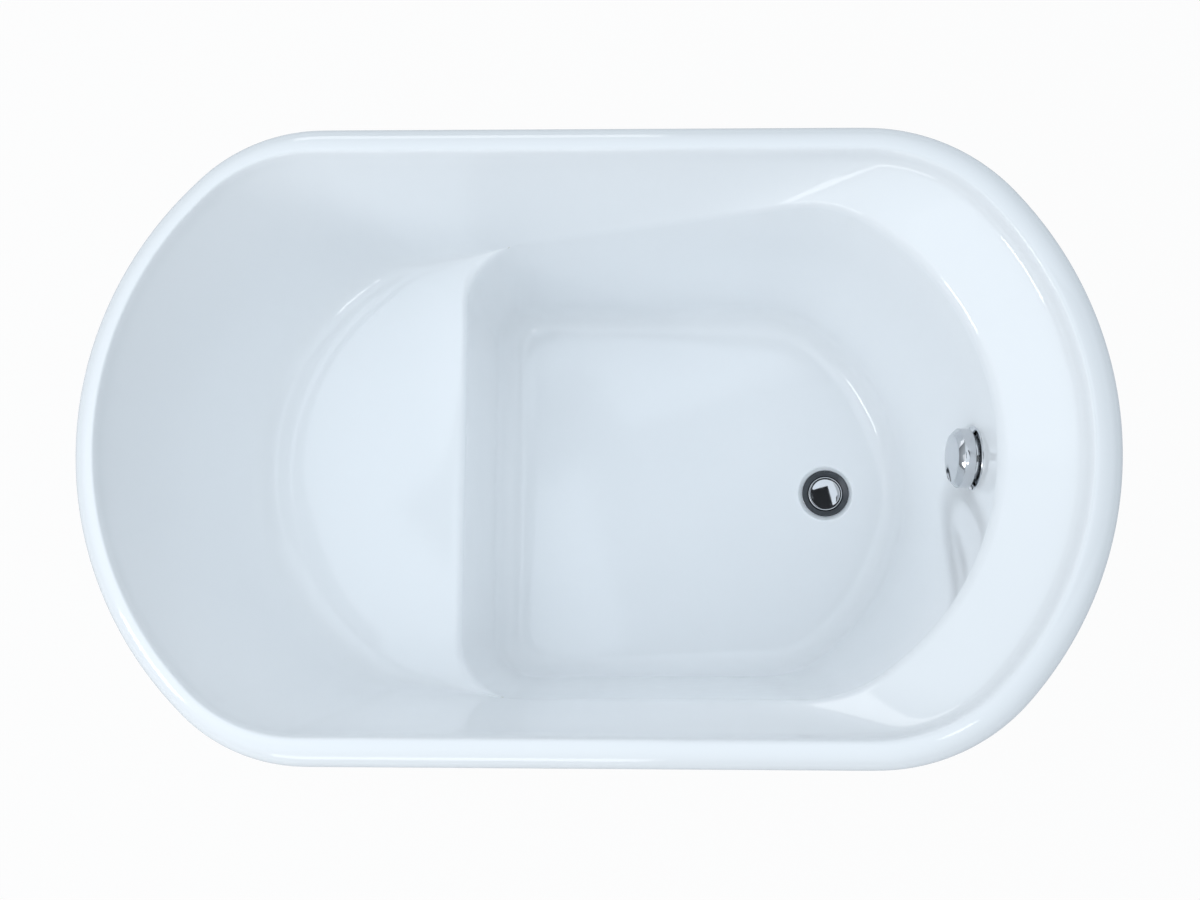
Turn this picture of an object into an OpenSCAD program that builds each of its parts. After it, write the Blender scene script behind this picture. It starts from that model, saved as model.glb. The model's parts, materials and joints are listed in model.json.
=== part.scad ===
// Sit-in bathtub: a short free-standing acrylic tub with a moulded seat, a deep footwell,
// a turn-knob waste and overflow set, an outer skirt and a steel frame on screw feet.
// +X points to the drain end, +Z is up. The origin is on the floor under the middle of the rim.

/* [Rim] */
// Overall length of the rim
tub_l = 1220; // [1180:5:1300]
// Overall width of the rim
tub_w = 753; // [730:1:790]
// Height of the rim above the floor
tub_h = 650; // [620:5:700]
// Radius of the rim's end at the drain
rim_foot_r = 446; // [430:1:520]
// Radius of the rim's corners at the drain end
rim_foot_corner_r = 235; // [180:1:260]
// Radius of the rim's end behind the seat
rim_back_r = 437; // [425:1:520]
// Radius of the rim's corners behind the seat
rim_back_corner_r = 209; // [170:1:240]
// Width of the rolled rim at the drain end
rim_foot_w = 46; // [38:1:60]
// Width of the rolled rim along the sides
rim_side_w = 40; // [34:1:50]
// Width of the rolled rim behind the seat
rim_back_w = 34; // [30:1:44]
// Height of the rim's turned-down outer edge
rim_skirt_h = 50; // [40:1:70]
// Height that the rim's outer edge takes to round over
rim_roll_h = 28; // [22:1:34]
// Depth of the rim's inner edge below its top
rim_inner_drop = 22; // [14:1:28]
// Thickness of the reinforced shell
shell_t = 7; // [5:0.5:9]

/* [Seat] */
// Height of the seat above the floor
seat_h = 365; // [340:5:400]
// Distance from the rim's back end in to the foot of the backrest
seat_back_in = 162; // [145:1:180]
// Depth of the seat from its front edge to the foot of the backrest
seat_depth = 267; // [250:1:285]
// Radius of the seat's back edge
seat_back_r = 320; // [305:1:360]
// Radius of the seat's back corners
seat_corner_r = 110; // [90:1:140]
// Half the width of the seat
seat_half_w = 283; // [270:1:295]
// Length that the fillet takes up the backrest
seat_fillet_up = 75; // [40:1:95]
// Length that the fillet takes on the seat
seat_fillet_in = 92; // [40:1:105]
// Rounding of the seat's front edge
seat_edge_r = 12; // [10:1:18]

/* [Footwell] */
// Radius of the footwell's corners at the seat
well_front_r = 75; // [55:1:90]
// Distance from the rim's drain end in to the shoulder line's far end
shoulder_in = 132; // [126:1:142]
// Half the width of the footwell at the shoulder line
shoulder_half_w = 298; // [288:1:308]
// Radius of the shoulder line's far end
shoulder_r = 325; // [312:1:360]
// Radius of the shoulder line's far corners
shoulder_corner_r = 170; // [140:1:190]
// Depth of the shoulder line below the rim at the far end
shoulder_drop = 70; // [50:1:90]
// Rise of the shoulder line for each millimetre along the footwell
shoulder_slope = 0.5; // [0.45:0.01:0.55]
// Rounding of the shoulder line
shoulder_edge = 12; // [10:1:16]
// Height of the footwell's floor above the ground, at the drain
floor_h = 115; // [110:1:125]
// Fall of the footwell's floor to the drain, in millimetres for each metre
floor_fall = 12; // [4:1:18]
// Distance from the rim's drain end in to the floor's far end
floor_in = 190; // [182:1:198]
// Half the width of the footwell's floor
floor_half_w = 262; // [250:1:275]
// Radius of the floor's far end
floor_end_r = 290; // [280:1:320]
// Radius of the floor's far corners
floor_corner_r = 130; // [110:1:150]
// Distance from the seat's front edge to the foot of its riser
riser_in = 29; // [22:1:38]
// Radius of the floor's corners at the seat's riser
riser_corner_r = 60; // [50:1:75]
// Size of the fillet between the footwell's walls and its floor
floor_fillet = 48; // [30:1:50]

/* [Outer skirt] */
// Distance from the rim's ends in to the skirt's foot
skirt_in = 105; // [90:1:115]
// Width of the skirt at its foot
skirt_w = 610; // [590:2:640]
// Radius of the skirt's ends at its foot
skirt_end_r = 380; // [340:5:420]
// Radius of the skirt's corners at its foot
skirt_corner_r = 180; // [150:5:200]
// Wall thickness of the skirt
skirt_t = 5; // [4:0.5:7]
// Gap between the skirt's foot and the ground
skirt_gap = 12; // [8:1:20]
// Height that the skirt's top edge reaches up inside the rim
skirt_tuck = 12; // [8:1:20]
// Width of the skirt's turned-in foot
skirt_foot_w = 24; // [18:1:30]

/* [Frame and feet] */
// Side of the frame's square tube
tube_s = 30; // [25:1:35]
// Wall of the frame's square tube
tube_t = 2; // [1.5:0.5:3]
// Distance of the long rails from the middle of the tub
rail_y = 190; // [180:1:200]
// Distance from the skirt's back end in to the long rails
rail_back_in = 85; // [75:1:95]
// Distance from the skirt's drain end in to the long rails
rail_foot_in = 93; // [85:1:100]
// Distance from the rails' back end to the back cross rail
cross_back_in = 50; // [45:1:60]
// Distance from the seat's front edge to the middle cross rail
cross_mid_in = 121; // [101:1:141]
// Distance from the drain back to the drain end's cross rail
cross_foot_in = 82; // [74:1:90]
// Half the length of the middle and drain end's cross rails
cross_half_l = 272; // [262:1:280]
// Thickness of the reinforcing boards
board_t = 12; // [10:1:14]
// Side of the seat posts' square tube
post_s = 25; // [20:1:30]
// Distance from the foot of the backrest to the rear seat posts
post_rear_in = 123; // [113:1:130]
// Distance from the seat's front edge to the front seat posts
post_front_in = 44; // [40:1:50]
// Distance from the skirt's ends in to the feet
foot_in = 120; // [115:1:130]
// Diameter of the feet's studs
stud_d = 12; // [10:1:14]
// Diameter of the feet's pads
pad_d = 50; // [40:1:60]
// Height of the feet's pads
pad_h = 10; // [8:1:14]

/* [Waste and overflow] */
// Distance from the floor's far end in to the drain
drain_in = 103; // [98:1:106]
// Diameter of the drain flange
flange_d = 70; // [66:1:72]
// Diameter of the hole in the footwell's floor and in the end wall
hole_d = 52; // [50:1:54]
// Diameter of the plug
plug_d = 48.7; // [46:0.1:50]
// Travel of the plug
plug_lift = 9; // [6:1:10]
// Turn of the overflow knob that lifts the plug, in degrees
knob_turn = 60; // [50:5:80]
// Depth of the overflow's middle below the rim
overflow_drop = 170; // [160:1:180]
// Diameter of the overflow knob
knob_d = 74; // [70:1:76]
// Depth of the overflow knob
knob_depth = 22; // [18:1:26]
// Gap behind the overflow knob, where the water goes in
knob_gap = 5; // [4:0.5:7]
// Diameter of the overflow's base ring
ring_d = 82; // [78:1:84]
// Diameter of the outlet pipe
outlet_d = 40; // [38:0.5:42]
// Outer diameter of the overflow hose
hose_d = 36; // [32:1:36]
// Bore of the overflow hose
hose_bore = 25; // [22:1:26]
// Number of ribs on the overflow hose
hose_ribs = 48; // [30:1:60]
// Bend radius of the overflow hose's foot
hose_bend_r = 80; // [75:1:84]
// Outer diameter of the control cable
cable_d = 5; // [4:0.5:6]

/* [Fits] */
// Radial clearance of a shaft that turns or slides in its bore
running = 0.05; // [0.02:0.01:0.09]
// Radial clearance of a thread or a bolt in its hole
loose = 0.2; // [0.1:0.05:0.3]
// Gap between faces that are bonded together
bond = 0.3; // [0.2:0.05:0.4]

/* [Hidden] */
$fn = 64;

acrylic = [0.94, 0.96, 0.98];
chrome = [0.75, 0.77, 0.8];
steel = [0.6, 0.62, 0.64];
plywood = [0.8, 0.68, 0.5];
rubber = [0.15, 0.15, 0.15];
plastic = [0.3, 0.32, 0.34];

// Steps along the far end, its corner, the footwell's side, the seat's side, the back corner and the back end
STEPS = [8, 7, 6, 8, 7, 6];
HALF = 42;
AROUND = 2 * HALF;
SEAT_START = STEPS[0] + STEPS[1] + STEPS[2];

// Places along the tub, from its middle, and the overflow's height
seat_back_x = tub_l / 2 - seat_back_in;
well_front_x = seat_back_x - seat_depth;
riser_x = well_front_x - riser_in;
shoulder_x = tub_l / 2 - shoulder_in;
floor_x = tub_l / 2 - floor_in;
drain_x = floor_x - drain_in;
skirt_l = tub_l - 2 * skirt_in;
rail_back_x = skirt_l / 2 - rail_back_in;
rail_foot_x = skirt_l / 2 - rail_foot_in;
cross_back_x = rail_back_x - cross_back_in;
cross_mid_x = well_front_x - cross_mid_in;
cross_foot_x = drain_x - cross_foot_in;
post_rear_x = seat_back_x - post_rear_in;
post_front_x = well_front_x + post_front_in;
foot_x = skirt_l / 2 - foot_in;
overflow_h = tub_h - overflow_drop;
fall = floor_fall / 1000;

function unit(v) = v / norm(v);
function mix(a, b, t) = a * (1 - t) + b * t;
function ease(t) = t * t * (3 - 2 * t);
function arc(c, r, a0, a1, n) = [for (i = [0:n - 1]) let (a = mix(a0, a1, i / n)) c + r * [cos(a), sin(a)]];
function line(p, q, n) = [for (i = [0:n - 1]) mix(p, q, i / n)];

// An end of a loop is one wide arc that runs into two corner arcs, from its half length, the end's
// radius, the corners' radius and its half width
function corner_dx(re, rc, b) = sqrt(pow(re - rc, 2) - pow(b - rc, 2));
function corner_turn(re, rc, b) = atan2(b - rc, corner_dx(re, rc, b));
function end_steps(a, re, rc, b) = let (x = a - re, turn = corner_turn(re, rc, b)) concat(
    arc([x, 0], re, 0, turn, STEPS[0]),
    arc([x + corner_dx(re, rc, b), b - rc], rc, turn, 90, STEPS[1]));
function side_start(a, re, rc, b) = [a - re + corner_dx(re, rc, b), b];
function back_steps(a, re, rc, b) = let (x = a - re, turn = corner_turn(re, rc, b)) concat(
    arc([-x - corner_dx(re, rc, b), b - rc], rc, 90, 180 - turn, STEPS[4]),
    arc([-x, 0], re, 180 - turn, 180, STEPS[5]),
    [[-a, 0]]);

// Half of a loop that goes right round the tub
split_x = -well_front_x + well_front_r;
function round_half(fa, fre, frc, ba, bre, brc, b) = let (
    s = side_start(fa, fre, frc, b),
    e = side_start(ba, bre, brc, b)) concat(
    end_steps(fa, fre, frc, b),
    line(s, [split_x, b], STEPS[2]),
    line([split_x, b], [-e[0], b], STEPS[3]),
    back_steps(ba, bre, brc, b));

// Half of a loop that goes round the footwell alone
function well_half(a, re, rc, b, front, fr) = concat(
    end_steps(a, re, rc, b),
    line(side_start(a, re, rc, b), [fr - front, b], STEPS[2]),
    arc([fr - front, b - fr], fr, 90, 180, STEPS[3]),
    line([-front, b - fr], [-front, 0], STEPS[4] + STEPS[5]),
    [[-front, 0]]);

// The rim's loops run from its outer edge, share 0, to its inner edge, share 1
function rim_half(share) = round_half(
    tub_l / 2 - share * rim_foot_w, rim_foot_r - share * rim_foot_w, rim_foot_corner_r - share * rim_foot_w,
    tub_l / 2 - share * rim_back_w, rim_back_r - share * rim_back_w, rim_back_corner_r - share * rim_back_w,
    tub_w / 2 - share * rim_side_w);

// The shoulder line rises from the seat to the far end
shoulder_z = tub_h - shoulder_drop;
shoulder_soft = 14;
shoulder_foot_x = -well_front_x + shoulder_soft + 2;
function soften(u) = u < -shoulder_soft ? 0
    : u > shoulder_soft ? u
    : pow(u + shoulder_soft, 2) / (4 * shoulder_soft);
function shoulder_at(x) = let (rise = shoulder_slope * (x - shoulder_foot_x))
    seat_h + soften(rise) - soften(rise - (shoulder_z - seat_h));
function floor_at(p) = floor_h + fall * norm(p - [drain_x, 0]);
function raise(p, z) = [p[0], p[1], z];

edge_half = well_half(shoulder_x, shoulder_r, shoulder_corner_r, shoulder_half_w, well_front_x, well_front_r);
edge_loop = [for (p = edge_half) raise(p, shoulder_at(p[0]))];
seat_side_x = -side_start(seat_back_x, seat_back_r, seat_corner_r, seat_half_w)[0];
seat_half = concat(
    line([split_x, shoulder_half_w], [seat_side_x, seat_half_w], STEPS[3]),
    back_steps(seat_back_x, seat_back_r, seat_corner_r, seat_half_w));
seat_loop = concat(
    [for (i = [0:SEAT_START - 1]) edge_loop[i]],
    [for (p = seat_half) raise(p, shoulder_at(p[0]))]);
floor_loop = [for (p = well_half(floor_x, floor_end_r, floor_corner_r, floor_half_w, riser_x, riser_corner_r))
    raise(p, floor_at(p))];
// The rim's outer edge rolls over to its top, and its inner slope starts at the crown
top_share = 0.54;
crown_share = 0.64;
function rim_roll(outer, top) = [for (i = [0:4]) let (a = 18 * i)
    mix(top, outer, cos(a)) - [0, 0, rim_roll_h * (1 - sin(a))]];
lip_loop = [for (p = rim_half(0)) raise(p, tub_h - rim_skirt_h)];
outer_loop = [for (p = rim_half(0)) raise(p, tub_h)];
top_loop = [for (p = rim_half(top_share)) raise(p, tub_h)];
crown_loop = [for (p = rim_half(crown_share)) raise(p, tub_h)];
inner_loop = [for (p = rim_half(1)) raise(p, tub_h - rim_inner_drop)];

// The drain sits in a shallow round recess
recess_r = flange_d / 2 + 2.5;
recess_depth = 4;
recess_z = floor_h - recess_depth;
shell_under_z = recess_z - shell_t;
dish_r = recess_r + 10;
centre_r = 15;
function around_drain(i, r, z) = let (d = unit([floor_loop[i][0] - drain_x, floor_loop[i][1]]))
    [drain_x + r * d[0], r * d[1], z];

// Rounds the corner c between a and b, with n points
function rounded(a, c, b, ta, tb, n) = let (
    p = c + unit(a - c) * min(ta, 0.48 * norm(a - c)),
    q = c + unit(b - c) * min(tb, 0.48 * norm(b - c)))
    [for (i = [0:n - 1]) let (t = i / (n - 1)) p * pow(1 - t, 2) + c * 2 * t * (1 - t) + q * t * t];

// Turns from the top to a point half way down the inner slope
function crown_turn(top, crown, inner) = let (q = mix(crown, inner, 0.5))
    [for (t = [0, 0.5, 1]) top * pow(1 - t, 2) + crown * 2 * t * (1 - t) + q * t * t];

function seat_share(i) = ease(min(1, (i - SEAT_START) / STEPS[3]));
function middle_stations(i) = i <= SEAT_START
    ? rounded(inner_loop[i], edge_loop[i], floor_loop[i], shoulder_edge, shoulder_edge, 8)
    : concat(
        rounded(inner_loop[i], seat_loop[i], edge_loop[i],
                mix(shoulder_edge, seat_fillet_up, seat_share(i)),
                mix(shoulder_edge, seat_fillet_in, seat_share(i)), 5),
        rounded(seat_loop[i], edge_loop[i], floor_loop[i], seat_edge_r, seat_edge_r, 3));

// One profile of the shell's face, from the rim's lip to the drain
function profile(i) = let (dish = around_drain(i, dish_r, floor_h + fall * dish_r)) concat(
    [lip_loop[i]],
    rim_roll(outer_loop[i], top_loop[i]),
    crown_turn(top_loop[i], crown_loop[i], inner_loop[i]),
    rounded(crown_loop[i], inner_loop[i], seat_loop[i], 10, 10, 3),
    middle_stations(i),
    rounded(edge_loop[i], floor_loop[i], dish, floor_fillet, floor_fillet, 6),
    [dish,
     around_drain(i, recess_r + 1.5, floor_h + fall * (recess_r + 1.5)),
     around_drain(i, recess_r, recess_z),
     around_drain(i, centre_r, recess_z)]);

half_profiles = [for (i = [0:HALF]) profile(i)];
STATIONS = len(half_profiles[0]);
DISH = STATIONS - 4;
function mirrored(p) = [p[0], -p[1], p[2]];
function face_point(j, k) = let (i = (j + AROUND) % AROUND)
    i <= HALF ? half_profiles[i][k] : mirrored(half_profiles[AROUND - i][k]);
// Points out of the shell's face, into the tub
function face_normal(j, k) = unit(cross(
    face_point(j + 1, k) - face_point(j - 1, k),
    face_point(j, min(k + 1, DISH)) - face_point(j, max(k - 1, 0))));
function back_point(j, k) = let (p = face_point(j, k) - shell_t * face_normal(j, k))
    k == 0 ? [p[0], p[1], tub_h - rim_skirt_h] : p;

// Faces of a closed ring of rings, each ring with the same number of points
function ring_faces(rings, n) = [for (k = [0:rings - 1], j = [0:n - 1])
    let (k2 = (k + 1) % rings, j2 = (j + 1) % n,
         a = k * n + j, b = k * n + j2, c = k2 * n + j2, d = k2 * n + j)
    each [[a, b, c], [a, c, d]]];
function turned(faces) = [for (f = faces) [f[2], f[1], f[0]]];

// Stations of the shell's face that its back follows
BACK_STATIONS = concat([for (k = [0, 1, 2, 4, 6, 7, 8, 9, 10, 12, 14, 16]) DISH - k], [9, 7, 5, 3, 1, 0]);

// The end wall is flat in its own profile, so the overflow sits square on it
wall_top = edge_loop[0];
wall_foot = floor_loop[0];
wall_tilt = atan2(wall_top[0] - wall_foot[0], wall_top[2] - wall_foot[2]);
overflow_x = wall_foot[0] + (overflow_h - wall_foot[2]) * tan(wall_tilt);
// Local +Z points into the tub, square to the wall, and local +X points up the wall
module at_overflow() translate([overflow_x, 0, overflow_h]) rotate([0, wall_tilt - 90, 0]) children();
function from_overflow(p) = [overflow_x + p[0] * sin(wall_tilt) - p[2] * cos(wall_tilt), p[1],
                             overflow_h + p[0] * cos(wall_tilt) + p[2] * sin(wall_tilt)];
module at_drain(z) translate([drain_x, 0, z]) children();
module ring(r_out, r_in, h) difference() {
    cylinder(r = r_out, h = h);
    translate([0, 0, -1]) cylinder(r = r_in, h = h + 2);
}

module inner_basin() color(acrylic) difference() {
    polyhedron(
        points = concat(
            [for (k = [0:STATIONS - 1], j = [0:AROUND - 1]) face_point(j, k)],
            [for (k = [STATIONS - 1, DISH + 1], j = [0:AROUND - 1]) raise(face_point(j, k), shell_under_z)],
            [for (k = BACK_STATIONS, j = [0:AROUND - 1]) back_point(j, k)]),
        faces = turned(ring_faces(STATIONS + 2 + len(BACK_STATIONS), AROUND)), convexity = 8);
    at_drain(recess_z - shell_t - 5) cylinder(d = hole_d, h = shell_t + 10);
    at_overflow() {
        translate([0, 0, -shell_t - 10]) cylinder(d = hole_d, h = shell_t + 20);
        cylinder(r = ring_d / 2 + 1.5, h = 10);
    }
}

// The skirt tapers from the rim's underside to its foot, and its wall is straight from top to foot
skirt_top_z = tub_h - rim_skirt_h + skirt_tuck;
skirt_top_in = shell_t + 2 * bond;
function skirt_share(z) = (skirt_top_z - z) / (skirt_top_z - skirt_gap);
function skirt_half(z, inset) = let (t = skirt_share(z), s = skirt_top_in) round_half(
    mix(tub_l / 2 - s, skirt_l / 2, t) - inset, mix(rim_foot_r - s, skirt_end_r, t) - inset,
    mix(rim_foot_corner_r - s, skirt_corner_r, t) - inset,
    mix(tub_l / 2 - s, skirt_l / 2, t) - inset, mix(rim_back_r - s, skirt_end_r, t) - inset,
    mix(rim_back_corner_r - s, skirt_corner_r, t) - inset,
    mix(tub_w / 2 - s, skirt_w / 2, t) - inset);
function skirt_ring(z, inset) = let (h = skirt_half(z, inset)) concat(
    [for (i = [0:HALF]) raise(h[i], z)],
    [for (i = [HALF - 1:-1:1]) raise([h[i][0], -h[i][1]], z)]);
function skirt_inner_y(z) = mix(tub_w / 2 - skirt_top_in, skirt_w / 2, skirt_share(z)) - skirt_t;
skirt_foot_round = 4;

module outer_skirt() color(acrylic) {
    rings = [
        skirt_ring(skirt_top_z, 0),
        skirt_ring(skirt_gap + skirt_foot_round, 0),
        skirt_ring(skirt_gap + skirt_foot_round / 3, skirt_foot_round / 3),
        skirt_ring(skirt_gap, skirt_foot_round),
        skirt_ring(skirt_gap, skirt_foot_w),
        skirt_ring(skirt_gap + skirt_t, skirt_foot_w),
        skirt_ring(skirt_gap + skirt_t, skirt_t),
        skirt_ring(skirt_top_z, skirt_t)];
    polyhedron(points = [for (r = rings) each r], faces = ring_faces(len(rings), AROUND), convexity = 6);
}

// The stack below the floor: shell, board, frame
board_z = shell_under_z - board_t;
rail_z = board_z - tube_s;
waste_clear_r = dish_r + 1.5;

module floor_board() color(plywood) difference() {
    inset = floor_fillet + 6;
    half = well_half(floor_x - inset, floor_end_r - inset, floor_corner_r - inset, floor_half_w - inset,
                     riser_x - inset, riser_corner_r);
    translate([0, 0, board_z]) linear_extrude(board_t + 12)
        polygon(concat(half, [for (i = [HALF - 1:-1:1]) [half[i][0], -half[i][1]]]));
    at_drain(floor_h - shell_t - bond) cylinder(r1 = 0, r2 = tub_l, h = fall * tub_l);
    at_drain(board_z - 1) {
        cylinder(r = waste_clear_r, h = board_t + 20);
        translate([0, -waste_clear_r, 0]) cube([floor_in, 2 * waste_clear_r, board_t + 20]);
    }
    for (p = floor_screws) translate([p[0], p[1], board_z]) pilot_hole();
}

seat_board_z = seat_h - shell_t - bond - board_t;
seat_board_front = well_front_x + shell_t + 15;
seat_board_back = seat_back_x - seat_fillet_in - 4;
module seat_board() color(plywood) difference() {
    half_w = rail_y + post_s;
    translate([-seat_board_back, -half_w, seat_board_z])
        cube([seat_board_back - seat_board_front, 2 * half_w, board_t]);
    for (p = seat_screws) translate([p[0], p[1], seat_board_z]) pilot_hole();
}
module pilot_hole() translate([0, 0, -1]) cylinder(r = screw_r + loose, h = screw_bite + 1);

// A square tube along X, centred on its axis
module tube_x(l, s, t) difference() {
    translate([0, -s / 2, 0]) cube([l, s, s]);
    translate([-1, t - s / 2, t]) cube([l + 2, s - 2 * t, s - 2 * t]);
}
module tube_y(l, s, t) rotate(90) tube_x(l, s, t);

feet = [[-foot_x, -rail_y], [-foot_x, rail_y], [foot_x, -rail_y], [foot_x, rail_y]];
bracket_hole_y = cross_half_l - 20;
brackets = [for (x = [-cross_mid_x, cross_foot_x], side = [-1, 1]) [x, side]];
screw_r = 2.2;
screw_bite = 9;
screw_head_r = 4.5;
floor_screws = [for (x = [-cross_mid_x, cross_foot_x], y = [-rail_y / 2, rail_y / 2]) [x, y]];
posts = [for (x = [-post_rear_x, -post_front_x], y = [-rail_y, rail_y]) [x, y]];
plate_t = 3;
plate_l = post_s + 24;
seat_screws = [for (p = posts, side = [-1, 1]) [p[0] + side * (post_s / 2 + 6), p[1]]];

module base_frame() color(steel) difference() {
    union() {
        for (y = [-rail_y, rail_y])
            translate([-rail_back_x, y, rail_z]) tube_x(rail_back_x + rail_foot_x, tube_s, tube_t);
        for (side = [-1, 1]) on_side(side) {
            inner = rail_y - tube_s / 2;
            for (x = [-cross_mid_x, cross_foot_x])
                translate([x, rail_y + tube_s / 2, rail_z])
                    tube_y(cross_half_l - rail_y - tube_s / 2, tube_s, tube_t);
            for (x = [-cross_back_x, -cross_mid_x, cross_foot_x])
                translate([x, -1, rail_z]) tube_y(inner + 1, tube_s, tube_t);
        }
    }
    for (p = feet) translate([p[0], p[1], rail_z - 1]) cylinder(r = stud_d / 2 + 3 * loose, h = tube_s + 2);
    for (p = floor_screws) translate([p[0], p[1], rail_z - 1]) {
        cylinder(r = screw_r + loose, h = tube_s + 2);
        cylinder(r = screw_head_r + 2, h = tube_s - tube_t);
    }
    for (b = brackets) translate([b[0], b[1] * bracket_hole_y, rail_z - 1])
        cylinder(r = bolt_r + loose, h = tube_s + 2);
}
module on_side(side) mirror([0, side < 0 ? 1 : 0, 0]) children();

module seat_posts() color(steel) for (p = posts) translate([p[0], p[1], board_z]) difference() {
    union() {
        linear_extrude(seat_board_z - board_z) difference() {
            square(post_s, center = true);
            square(post_s - 2 * tube_t, center = true);
        }
        translate([-plate_l / 2, -post_s / 2, seat_board_z - board_z - plate_t])
            cube([plate_l, post_s, plate_t]);
    }
    for (side = [-1, 1]) translate([side * (post_s / 2 + 6), 0, seat_board_z - board_z - plate_t - 1])
        cylinder(r = screw_r + loose, h = plate_t + 2);
}

// Angle brackets stand on the cross rails and carry the skirt's wall
bolt_r = 3;
bracket_w = 28;
bracket_t = 3;
bracket_h = 40;
module skirt_brackets() color(steel) for (b = brackets) on_side(b[1]) difference() {
    y0 = bracket_hole_y - 14;
    foot_y = skirt_inner_y(board_z) - bond;
    top_y = skirt_inner_y(board_z + bracket_h) - bond;
    translate([b[0] - bracket_w / 2, 0, 0]) rotate([90, 0, 90]) linear_extrude(bracket_w)
        polygon([[y0, board_z], [foot_y, board_z], [top_y, board_z + bracket_h],
                 [top_y - bracket_t, board_z + bracket_h], [foot_y - bracket_t, board_z + bracket_t],
                 [y0, board_z + bracket_t]]);
    translate([b[0], bracket_hole_y, board_z - 1]) cylinder(r = bolt_r + loose, h = bracket_t + 2);
}

module hex_bolt(r, l, head_h) {
    cylinder(r = r, h = l);
    translate([0, 0, l]) cylinder(r = 1.9 * r, h = head_h, $fn = 6);
}
module bracket_bolts() color(steel) for (b = brackets) translate([b[0], b[1] * bracket_hole_y, 0]) {
    translate([0, 0, rail_z - 6]) hex_bolt(bolt_r, board_z + bracket_t - rail_z + 6, 4);
    translate([0, 0, rail_z - 5]) difference() {
        cylinder(r = 1.9 * bolt_r, h = 5, $fn = 6);
        translate([0, 0, -1]) cylinder(r = bolt_r - 0.01, h = 7);
    }
}

module wood_screw(grip) {
    translate([0, 0, -3]) cylinder(r = screw_head_r, h = 3);
    cylinder(r = screw_r, h = grip + screw_bite - 1);
}
module board_screws() color(steel) {
    for (p = floor_screws) translate([p[0], p[1], board_z - tube_t]) wood_screw(tube_t);
    for (p = seat_screws) translate([p[0], p[1], seat_board_z - plate_t]) wood_screw(plate_t);
}

// Feet: a rubber pad, a threaded stud and two nuts that grip the rail
nut_h = 8;
stud_top = board_z + nut_h + 4;
module foot_nuts() color(steel) for (p = feet) translate([p[0], p[1], 0]) {
    for (z = [rail_z - nut_h, board_z]) translate([0, 0, z]) difference() {
        cylinder(r = 0.92 * stud_d, h = nut_h, $fn = 6);
        translate([0, 0, -1]) cylinder(r = stud_d / 2 + running, h = nut_h + 2);
    }
}
module foot_pad(n) color(rubber) translate([feet[n - 1][0], feet[n - 1][1], 0]) rotate_extrude()
    polygon([[0, 0], [pad_d / 2 - 1, 0], [pad_d / 2, 1], [pad_d / 2, pad_h * 0.5],
             [stud_d * 0.9, pad_h], [0, pad_h]]);
module foot_stud(n) color(steel) translate([feet[n - 1][0], feet[n - 1][1], pad_h]) {
    cylinder(r = stud_d / 2, h = stud_top - pad_h);
    cylinder(r = stud_d * 0.8, h = 6, $fn = 6);
}

// Drain: a dished flange whose threaded sleeve screws into the waste body
gasket_t = 1;
flange_z = recess_z + gasket_t;
flange_t = 4;
sleeve_r = hole_d / 2 - 2;
sleeve_l = 28;
throat_r = plug_d / 2 - 4;
cup_wall_r = plug_d / 2 + 0.6;
seat_z = flange_z - 2.4;
stem_r = 4;
hub_r = 8;
hub_l = 6;
hub_z = flange_z - 24;
spoke_w = 3;
module spider(r_in, hub, bore, h) difference() {
    union() {
        cylinder(r = hub, h = h);
        for (a = [60, 180, 300]) rotate(a) translate([0, -spoke_w / 2, 0]) cube([r_in + 1, spoke_w, h]);
    }
    translate([0, 0, -1]) cylinder(r = bore, h = h + 2);
}
module drain_gasket() color(rubber) at_drain(recess_z) ring(flange_d / 2 - 1.5, hole_d / 2 + 0.5, gasket_t);
module drain_flange() color(chrome) {
    at_drain(0) rotate_extrude() polygon([
        [flange_d / 2, flange_z], [flange_d / 2, flange_z + flange_t * 0.5],
        [flange_d / 2 - 1, flange_z + flange_t], [flange_d / 2 - 2.5, flange_z + flange_t],
        [hole_d / 2 - 0.4, flange_z + 1], [cup_wall_r, flange_z + 0.3],
        [cup_wall_r, seat_z + 1.8], [throat_r + 2, seat_z], [throat_r, seat_z - 1],
        [throat_r, flange_z - sleeve_l], [sleeve_r, flange_z - sleeve_l], [sleeve_r, seat_z - 1.2],
        [hole_d / 2 - loose, seat_z + 1], [hole_d / 2 - loose, flange_z]]);
    at_drain(hub_z) spider(throat_r, hub_r, stem_r + running, hub_l);
}
seal_t = 4;
seal_r = 34;
module drain_seal() color(rubber) at_drain(shell_under_z - seal_t) ring(seal_r, sleeve_r + loose, seal_t);

// Waste body: a bowl with a side inlet for the hose, a guide for the lift pin and a socket for the outlet pipe
body_wall = 2.5;
waste_top_z = shell_under_z - seal_t;
waste_lip_t = 5;
waste_neck_l = 16;
waste_r = 30;
inlet_z = 67;
inlet_l = 28;
inlet_end_x = drain_x + waste_r + inlet_l;
bowl_z = inlet_z - hose_bore / 2 - 8;
outlet_bore_r = outlet_d / 2 - 3;
socket_l = 14;
pin_r = 3;
pin_hub_l = plug_lift + 2;
cable_turn = 42;
gland_l = 12;
gland_r = cable_d / 2 + 2;
wire_r = cable_d / 4;
cable_gland_z = bowl_z + 8;
module out_of_inlet(r, l) translate([drain_x, 0, inlet_z]) rotate([0, 90, 0]) cylinder(r = r, h = l);
module out_of_gland(r, l) at_drain(cable_gland_z) rotate([0, 90, cable_turn]) cylinder(r = r, h = l);
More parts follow.
